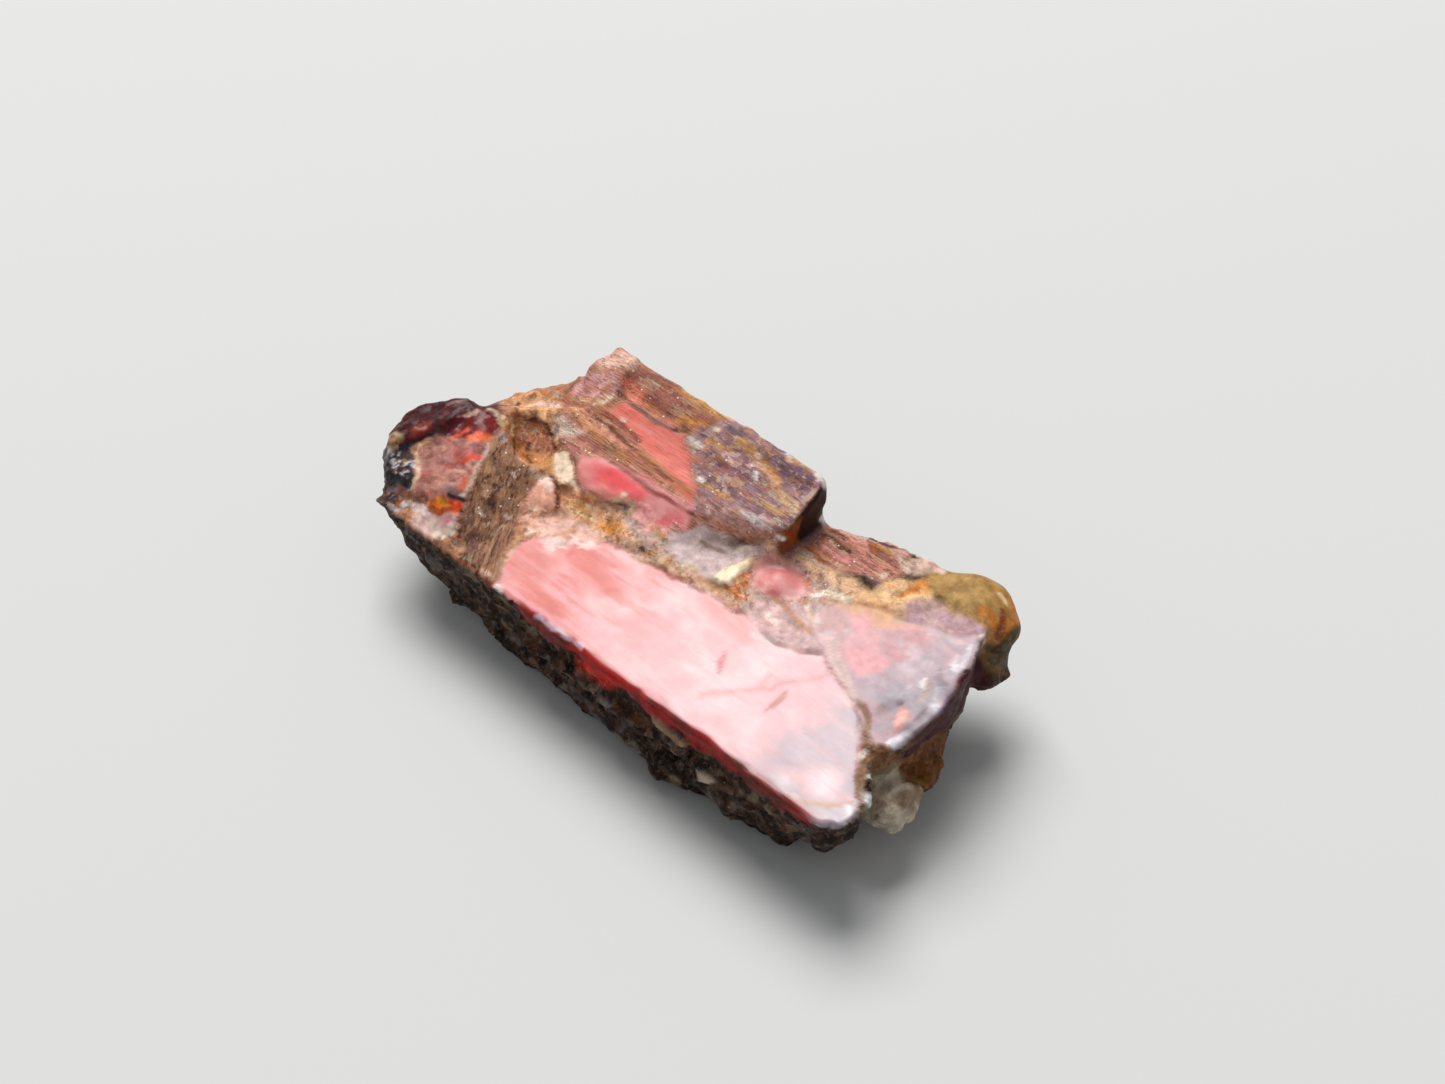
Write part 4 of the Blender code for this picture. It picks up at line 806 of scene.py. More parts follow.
streaks(
    (0.14, (138, 78, 60), (-6.23, 1.89, 4.99), (-6.26, 1.62, 4.87), (-6.18, 1.33, 4.78)),
    (0.11, (222, 176, 132), (-5.95, 1.26, 4.73), (-5.56, 1.42, 4.78), (-4.93, 1.36, 5.15), (-4.7, 1.63, 5.31)),
    (0.08, (246, 218, 186), (-4.98, 1.25, 5.08), (-4.76, 1.44, 5.2), (-4.64, 1.65, 5.33)),
    (0.17, (214, 142, 96), (-5.02, 1.62, 5.28), (-4.91, 1.77, 5.4)),
    (0.08, (92, 50, 42), (-4.53, 1.79, 5.46), (-3.81, 1.77, 5.36), (-2.97, 1.73, 5.36), (-2.31, 1.74, 5.37),
     (-1.89, 1.96, 5.41)),
    (0.08, (128, 72, 56), (-5.36, 1.23, 4.83), (-4.47, 0.98, 4.94), (-3.52, 0.85, 4.91), (-2.41, 0.73, 4.91),
     (-1.28, 0.66, 4.83)),
    (0.08, (158, 76, 60), (-4.5, 1.22, 5.08), (-3.75, 1.16, 5.03), (-2.97, 1.1, 5.01)),
    (0.11, (150, 66, 56), (-3.22, 0.21, 4.6), (-2.44, 0.23, 4.62), (-1.58, 0.16, 4.6), (-0.65, 0.17, 4.58),
     (-0.13, 0.26, 4.55)),
    (0.11, (206, 144, 96), (-5.23, 0.75, 4.94), (-4.42, 0.6, 4.83), (-3.5, 0.5, 4.77), (-2.84, 0.48, 4.73)),
    (0.11, (200, 132, 92), (-2.73, 0.86, 4.93), (-2.02, 0.78, 4.93), (-1.17, 0.71, 4.86), (-0.58, 0.66, 4.83)),
    (0.17, (70, 58, 66), (-2.12, 2.03, 5.41), (-1.92, 2.03, 5.42)),
    (0.17, (108, 88, 96), (-0.92, 2.58, 5.75), (-0.54, 2.58, 5.75)),
    (0.17, (106, 88, 94), (-0.5, 2.54, 5.72), (-0.28, 2.54, 5.71)),
    (0.17, (118, 96, 106), (0.33, 2.53, 5.72), (0.74, 2.5, 5.69)),
    (0.17, (112, 88, 102), (1.62, 2.42, 5.63), (1.93, 2.4, 5.61), (2.04, 2.2, 5.52)),
    (0.17, (112, 86, 84), (-0.83, 1.82, 5.39), (-0.37, 1.74, 5.35)),
    (0.22, (204, 152, 98), (-0.42, 2.45, 5.68), (0.05, 2.43, 5.68), (0.34, 2.37, 5.61)),
    (0.17, (214, 156, 112), (0.63, 2.29, 5.54), (1.03, 2.26, 5.51), (1.45, 2.12, 5.5)),
    (0.17, (222, 172, 132), (1.66, 1.89, 5.41), (2.09, 1.82, 5.36), (2.39, 1.81, 5.35)),
    (0.22, (214, 172, 132), (1.22, 2.78, 5.8), (1.63, 2.9, 5.76), (2.04, 2.91, 5.75)),
    (0.14, (190, 138, 98), (-0.53, 1.02, 4.99), (0.08, 1.01, 5.0), (0.59, 1.04, 5.01)),
    (0.11, (160, 124, 96), (-1.26, 2.04, 5.44), (-0.78, 2.17, 5.49), (-0.4, 2.18, 5.49)),
    (0.17, (196, 150, 112), (1.37, 1.48, 5.21), (1.93, 1.43, 5.16), (2.31, 1.58, 5.23)),
    (0.19, (222, 162, 98), (-2.92, 2.88, 5.79), (-2.49, 2.89, 5.76), (-2.01, 2.92, 5.77), (-1.57, 2.97, 5.65),
     (-1.08, 2.91, 5.78)),
    (0.17, (204, 124, 56), (-2.35, 2.2, 5.51), (-1.94, 2.26, 5.56), (-1.57, 2.37, 5.64)),
    (0.11, (196, 180, 168), (-1.69, 1.83, 5.39), (-1.42, 1.71, 5.33), (-1.2, 1.8, 5.41)),
    # Painted glints: the short near-white dots among the marks that follow.
    (0.06, (250, 240, 226), (-1.38, 1.83, 5.39), (-1.2, 1.8, 5.41)),
    (0.06, (250, 244, 236), (0.63, 1.97, 5.46), (0.77, 1.85, 5.4)),
    (0.08, (250, 240, 236), (1.04, 1.88, 5.4), (1.13, 1.86, 5.4)),
    (0.06, (250, 244, 236), (0.32, 2.38, 5.62), (0.4, 2.37, 5.61)),
    (0.06, (250, 240, 230), (-0.63, 1.11, 5.01), (-0.54, 1.1, 5.0)),
    (0.06, (224, 224, 240), (1.09, 2.89, 5.8), (1.17, 2.84, 5.81)),
    (0.08, (250, 210, 196), (-3.9, 1.27, 5.1), (-3.8, 1.29, 5.1)),
    (0.08, (250, 226, 190), (-2.25, -0.33, 4.35), (-2.18, -0.31, 4.34)),
    (0.08, (220, 214, 206), (-0.1, 3.0, 5.69), (0.08, 2.93, 5.77)),
    (0.06, (240, 220, 190), (-1.23, 2.38, 5.65), (-1.14, 2.4, 5.66)),
    (0.11, (190, 164, 166), (1.55, 1.08, 5.0), (1.89, 1.15, 5.03), (2.26, 1.23, 5.06)),
    (0.08, (228, 210, 204), (1.09, 0.9, 4.98), (1.42, 0.94, 4.98), (1.72, 0.93, 4.92), (2.1, 1.0, 4.9)),
    (0.11, (246, 236, 226), (2.28, 1.05, 4.75), (2.45, 1.11, 4.71)),
    (0.14, (236, 200, 160), (1.9, 1.78, 5.34), (2.22, 1.84, 5.37), (2.43, 1.72, 5.29)),
    (0.17, (240, 224, 214), (2.2, 2.83, 5.79), (2.51, 2.69, 5.71)),
    (0.11, (168, 124, 140), (2.26, 2.03, 5.49), (2.33, 2.44, 5.62), (2.42, 2.66, 5.75)),
    # Painted shade: the next two dark marks on the slab's right end.
    (0.44, (58, 30, 20), (2.55, 2.62, 5.26), (2.57, 2.37, 4.92), (2.52, 2.02, 4.6)),
    (0.28, (48, 26, 14), (2.56, 1.69, 4.55), (2.54, 1.92, 4.45)),
    (0.22, (140, 66, 22), (2.49, 1.22, 4.92), (2.57, 1.47, 4.64)))


# The head: the thick broken left end. A mottled facet and a fibrous one meet in a crest, a glossy
# dark red rim wraps round the back, dark metal with painted glints at the left, and a hollow lies under the crest.
SMOOTHEST_BREAK = 0.43
RIM_SHINE, GLOSSY_SHINE = 0.07, 0.12
HEAD_BROWN, FIBRE_BROWN, BACK_BROWN, BACK_DARK = (190, 130, 98), (150, 104, 78), (142, 88, 54), (66, 38, 26)
RIM_RED, RIM_WARM = (74, 16, 18), (120, 34, 26)
MOTTLE_PEACH, MOTTLE_DARK, MOTTLE_RED = (216, 154, 132), (120, 64, 56), (204, 66, 48)
METAL_DARK, METAL_PAINTED_GLINT, METAL_OCHRE = (60, 50, 54), (206, 206, 214), (160, 116, 70)
FOOT_DARK, FOOT_PINK = (46, 34, 38), (128, 76, 66)
CORNER_PEACH, CORNER_OCHRE, FLECK_CREAM = (240, 190, 172), (218, 150, 112), (250, 222, 212)

def chips(points, size, seed=0):
    """Flat facets tilted at random, like the faces of broken grains, from about -1 to 1."""
    where = points / size + 11.3 + 7.9 * seed
    cell = np.floor(where).astype(np.int64)
    nearest = np.full(len(points), 1e9)
    height = np.zeros(len(points))
    for corner in range(27):
        spot = cell + np.array((corner % 3 - 1, corner // 3 % 3 - 1, corner // 9 - 1))
        mixed = scrambled(spot)
        chance = []
        for turn in range(7):
            mixed = (mixed ^ (mixed >> 13)) * STIR + 12345 & STIR_MASK
            chance.append(((mixed ^ (mixed >> 15)) & CHANCE_MASK) / CHANCE_MASK)
        away = where - spot - np.stack(chance[:3], axis=1)
        gap = (away * away).sum(axis=1)
        tilt = np.stack(chance[3:6], axis=1) * 2 - 1
        level = (away * tilt).sum(axis=1) + 0.8 * (chance[6] - 0.5)
        closer = gap < nearest
        nearest = np.where(closer, gap, nearest)
        height = np.where(closer, level, height)
    return np.clip(height, -1, 1)

head = ramp(-X, 3.2, 3.6) * ramp(facing[:, 2], 0.05, 0.25) * (1 - slab) * (1 - middle) * (1 - plate)
head *= ramp(Z, 3.0, 3.3)
lay(head, HEAD_BROWN, 0.45)
crusty = turned_to(crusty, head, 0.55)
speckled = turned_to(speckled, head, 0.26)
faceted += head
fibre_field = patch([(-6.18, -1.8), (-6.27, -1.41), (-6.24, -1.11), (-5.84, -1.24), (-5.35, -1.39), (-5.01, -1.14),
                    (-4.66, -1.25), (-4.66, -1.57), (-4.58, -1.9), (-4.54, -2.21), (-4.38, -2.57), (-3.97, -2.96),
                    (-3.86, -3.44), (-3.68, -3.81), (-3.34, -4.2), (-3.21, -4.7), (-3.76, -4.7), (-4.3, -4.5),
                    (-4.9, -4.1), (-5.36, -3.69), (-5.56, -3.33), (-5.79, -2.9), (-5.97, -2.41)], 0.08, 0.05, low=0.0)
lay(fibre_field, FIBRE_BROWN, 0.42)
back_fibres = patch([(-6.41, -0.4), (-6.26, 0.05), (-5.68, 0.05), (-5.2, -0.16), (-5.1, -0.43), (-5.85, -0.64),
                     (-6.3, -0.74)], 0.1)
fibrous += np.maximum(fibre_field, 0.6 * back_fibres)
faceted *= 1 - fibre_field
speckled = turned_to(speckled, fibre_field, 0.1)
clear(fibre_field, specks=0.0)
RIM = [(-8.77, -3.07), (-9.7, -3.0), (-9.8, -1.5), (-8.9, -0.2), (-7.75, -0.1), (-7.1, -0.5), (-6.43, -1.05),
       (-6.34, -1.34), (-6.62, -1.75), (-7.18, -1.96), (-7.6, -2.21), (-7.95, -2.29), (-8.01, -2.61), (-8.26, -2.94),
       (-8.57, -3.15)]
behind = ramp(-X, 3.4, 3.8) * ramp(Y, -0.6, 0.0) * ramp(Z, 2.6, 3.2) * (1 - slab) * ramp(-facing[:, 2], -0.85, -0.6)
mottle(behind, 0.5, 52, -0.2, 0.3, BACK_BROWN, 0.6, 0.8)
mottle(behind, 0.4, 53, 0.2, 0.5, BACK_DARK, 0.6, 0.8)
crusty = np.maximum(crusty, 0.8 * behind)
around = patch(RIM, 0.1, low=-0.9, above=3.2)
lay(around, RIM_RED, 0.4)
mottle(around, 0.45, 26, 0.15, 0.5, RIM_WARM, strength=0.7)
clear(around, crust=0.8)
glassy = np.maximum(glassy * (1 - around), RIM_SHINE * around)
METAL = [(-9.4, -3.3), (-8.61, -3.24), (-8.23, -2.98), (-7.94, -3.05), (-7.93, -3.29), (-7.54, -3.36), (-7.37, -3.71),
         (-7.63, -3.92), (-8.17, -4.1), (-8.56, -4.1), (-9.1, -3.9)]
# A row is a colour, a roughness, a soft edge, a strength and an outline.
HEAD_PATCHES = (
    ((98, 60, 54), 0.35, 0.15, 0.85, (-5.42, -3.59), (-5.38, -3.28), (-4.96, -3.45), (-4.42, -3.96), (-4.42, -4.26),
     (-4.98, -4.02)),
    ((182, 122, 112), 0.36, 0.08, 0.97, (-7.93, -2.3), (-7.6, -2.21), (-7.18, -1.96), (-6.59, -1.78), (-6.23, -1.79),
     (-6.07, -2.11), (-5.99, -2.43), (-5.84, -2.81), (-5.78, -3.11), (-5.92, -3.41), (-6.23, -3.69), (-6.7, -3.88),
     (-7.13, -3.89), (-7.48, -3.69), (-7.56, -3.38), (-7.97, -3.14), (-7.93, -2.76)),
    ((190, 90, 88), 0.33, 0.2, 0.8, (-7.16, -2.39), (-6.3, -2.05), (-6.19, -2.39), (-6.6, -2.73)),
    ((240, 124, 84), 0.3, 0.1, 0.85, (-6.12, -2.96), (-6.0, -2.73), (-5.82, -2.79), (-5.78, -3.11), (-5.95, -3.22)),
    ((214, 160, 140), 0.35, 0.06, 0.6, (-6.31, -1.84), (-6.16, -1.82), (-6.03, -2.16), (-5.88, -2.53), (-5.8, -2.85),
     (-5.89, -2.88), (-6.02, -2.52), (-6.13, -2.17)),
    ((236, 196, 186), 0.35, 0.08, 0.95, (-6.96, -4.13), (-6.43, -4.02), (-5.97, -3.97), (-5.6, -3.61), (-5.33, -3.83),
     (-5.25, -4.07), (-5.49, -4.4), (-6.03, -4.5), (-6.6, -4.5)),
    ((196, 124, 128), 0.35, 0.1, 0.85, (-5.95, -4.0), (-5.6, -3.69), (-5.38, -3.91), (-5.59, -4.17)),
    ((238, 212, 188), 0.45, 0.06, 0.9, (-6.09, -4.28), (-5.61, -4.24), (-5.36, -3.93), (-5.21, -4.07), (-5.47, -4.4),
     (-5.94, -4.4)),
    # The next two patches, bright orange and red: the crystal's own colour, brightened as painted glow of light
    # through it.
    ((236, 114, 32), 0.3, 0.08, 0.97, (-6.54, -3.91), (-6.28, -3.73), (-5.99, -3.54), (-5.64, -3.41), (-5.58, -3.55),
     (-5.79, -3.85), (-6.14, -4.01), (-6.45, -4.01)),
    ((220, 66, 24), 0.3, 0.06, 0.9, (-5.92, -3.61), (-5.62, -3.43), (-5.58, -3.55), (-5.77, -3.75)),
    ((78, 54, 54), 0.35, 0.05, 0.8, (-6.03, -3.49), (-5.88, -3.33), (-5.61, -3.2), (-5.62, -3.35), (-5.88, -3.49)),
    ((74, 18, 20), 0.38, 0.08, 0.6, (-8.77, -3.07), (-8.95, -2.69), (-9.1, -2.07), (-8.8, -1.57), (-8.2, -1.1),
     (-7.4, -0.7), (-6.74, -0.6), (-6.43, -1.05), (-6.34, -1.34), (-6.62, -1.75), (-7.18, -1.96), (-7.6, -2.21),
     (-7.95, -2.29), (-8.01, -2.61), (-8.26, -2.94), (-8.57, -3.15)),
    ((140, 52, 36), 0.22, 0.1, 0.85, (-8.59, -2.78), (-8.57, -2.36), (-8.29, -2.08), (-8.1, -2.22), (-8.24, -2.57),
     (-8.42, -2.85)),
    ((128, 28, 28), 0.22, 0.12, 0.9, (-7.67, -1.99), (-7.65, -1.53), (-7.38, -1.06), (-6.81, -0.98), (-6.38, -1.18),
     (-6.49, -1.48), (-7.04, -1.77), (-7.39, -2.05)),
    # Painted glow: a bright red spot of light through the crystal, over its own red.
    ((244, 96, 56), 0.25, 0.08, 0.9, (-7.07, -1.82), (-6.93, -1.55), (-6.5, -1.39), (-6.38, -1.59), (-6.69, -1.89)),
    ((52, 44, 50), 0.14, 0.08, 0.95, *METAL),
    ((176, 106, 76), 0.5, 0.08, 0.95, (-6.41, -0.4), (-6.26, 0.05), (-5.68, 0.05), (-5.2, -0.16), (-5.1, -0.43),
     (-5.43, -0.56), (-5.85, -0.64), (-6.09, -0.84), (-6.3, -0.74)),
    ((196, 128, 74), 0.5, 0.1, 0.9, (-6.0, -1.09), (-5.85, -0.64), (-5.43, -0.56), (-5.05, -0.52), (-4.65, -1.02),
     (-4.81, -1.14), (-5.05, -1.29), (-5.26, -1.48), (-5.56, -1.42)),
    ((226, 158, 90), 0.5, 0.06, 0.9, (-5.08, -0.77), (-5.01, -0.52), (-4.62, -0.68), (-4.4, -0.98), (-4.61, -1.1)),
    ((250, 190, 140), 0.6, 0.1, 0.9, (-7.37, 0.17), (-7.04, 0.6), (-6.39, 0.99), (-6.08, 0.98), (-5.72, 0.38),
     (-5.37, 0.31), (-5.37, 0.13), (-5.9, 0.11), (-6.3, 0.09), (-6.53, -0.2), (-6.8, -0.29)),
    ((255, 228, 208), 0.45, 0.1, 0.95, (-5.69, 0.25), (-5.33, 0.41), (-4.89, 0.49), (-4.59, 0.44), (-4.88, 0.22),
     (-5.12, -0.03), (-5.57, 0.08)),
    ((255, 216, 164), 0.5, 0.06, 0.95, (-6.76, -0.82), (-6.49, -0.76), (-6.42, -0.58), (-6.25, -1.0), (-6.43, -1.05)),
    ((246, 178, 152), 0.36, 0.06, 0.97, (-4.67, -1.36), (-4.56, -1.1), (-4.17, -1.12), (-3.95, -1.27), (-3.72, -1.54),
     (-3.81, -1.81), (-4.2, -1.95), (-4.52, -1.95), (-4.67, -1.68)),
    ((246, 186, 160), 0.45, 0.12, 0.9, (-4.49, -2.18), (-4.19, -1.97), (-3.79, -1.83), (-3.54, -1.61), (-3.0, -1.89),
     (-2.95, -2.49), (-3.32, -2.6), (-3.79, -2.62), (-4.32, -2.51)),
    ((255, 226, 196), 0.42, 0.05, 0.97, (-4.95, -0.45), (-4.59, -0.22), (-4.22, -0.39), (-3.92, -0.69),
     (-3.59, -0.74), (-3.64, -0.82), (-4.01, -0.92), (-4.2, -1.09), (-4.57, -0.86)),
    ((246, 228, 206), 0.4, 0.05, 0.95, (-3.78, -2.75), (-3.93, -2.37), (-3.72, -2.38), (-3.63, -2.58)),
    ((240, 214, 200), 0.4, 0.05, 0.9, (-2.91, -2.14), (-3.09, -1.81), (-2.86, -1.67), (-2.64, -1.92)),
    ((232, 156, 108), 0.55, 0.06, 0.9, (-4.12, -1.17), (-3.71, -0.82), (-2.84, -0.67), (-3.12, -0.81), (-3.72, -1.03),
     (-3.91, -1.31)),
    ((120, 42, 20), 0.4, 0.06, 0.85, (-4.15, -4.6), (-3.55, -4.5), (-3.18, -4.39), (-3.21, -4.7), (-3.94, -4.7)))
for colour, rough, soft, strength, *outline in HEAD_PATCHES:
    part = lay(patch(outline, soft, low=0.0), colour, rough, strength)
    if rough < SMOOTHEST_BREAK:
        clear(part, crust=0.8, specks=0.85)
        faceted *= 1 - 0.6 * part
    glossy = part * ramp(-rough, -0.4, -0.1)
    glassy = np.maximum(glassy * (1 - part), GLOSSY_SHINE * glossy)
    clear(glossy, crust=1.0, specks=0.9)
mottled = patch([(-7.93, -2.3), (-7.18, -1.96), (-6.23, -1.79), (-5.84, -2.81), (-5.92, -3.41), (-6.7, -3.88),
                (-7.48, -3.69), (-7.97, -3.14)], 0.1, low=0.0)
mottle(mottled, (0.5, 0.25, 0.3), 31, 0.05, 0.4, MOTTLE_PEACH, strength=0.6)
mottle(mottled, (0.5, 0.22, 0.3), 32, 0.05, 0.4, MOTTLE_DARK, strength=0.6)
mottle(mottled, (0.3, 0.2, 0.3), 34, 0.5, 0.65, MOTTLE_RED, strength=0.6, layers=2)
metal = patch(METAL, 0.1, 0.15, low=-0.4)
lay(metal, METAL_DARK, 0.3, 0.9)
# Painted glints: pale chips over the dark metal.
lay(metal * ramp(chips(points, 0.2, 5), 0.22, 0.4), METAL_PAINTED_GLINT, 0.18)
lay(metal * ramp(chips(points, 0.17, 6), 0.36, 0.48), METAL_OCHRE, 0.3, 0.9)
lay(patch([(-10, -4.9), (-10, -3.5), (-8.9, -3.4), (-8.0, -3.8), (-7.5, -4.2), (-7.8, -4.9)], 0.12, 0.14, low=-0.9,
          above=2.9), FOOT_DARK, 0.35, 0.85)
lay(patch([(-8.1, -3.85), (-7.3, -3.75), (-6.5, -3.9), (-6.5, -4.15), (-7.3, -4.2), (-7.9, -4.2)], 0.1, 0.14,
          low=-0.3), FOOT_PINK, 0.4, 0.8)
corner = patch([(-3.9, -2.45), (-3.6, -1.7), (-3.2, -1.5), (-2.4, -1.35), (-1.9, -1.4), (-2.1, -1.75), (-2.6, -2.1),
               (-2.8, -2.45), (-3.3, -2.6)], 0.12, 0.12, low=-0.9, above=2.9)
lay(corner, CORNER_PEACH, 0.45, 0.9)
mottle(corner, 0.35, 33, 0.1, 0.4, CORNER_OCHRE, strength=0.8)
clear(corner, crust=0.7, specks=0.8)
flecks = patch([(-3.4, -2.75), (-3.2, -2.0), (-2.4, -1.5), (-1.7, -1.5), (-2.1, -2.2), (-2.6, -2.6)], 0.2, 0.2)
mottle(flecks, (0.3, 0.2, 0.2), 54, 0.15, 0.4, FLECK_CREAM, strength=0.8, layers=2)
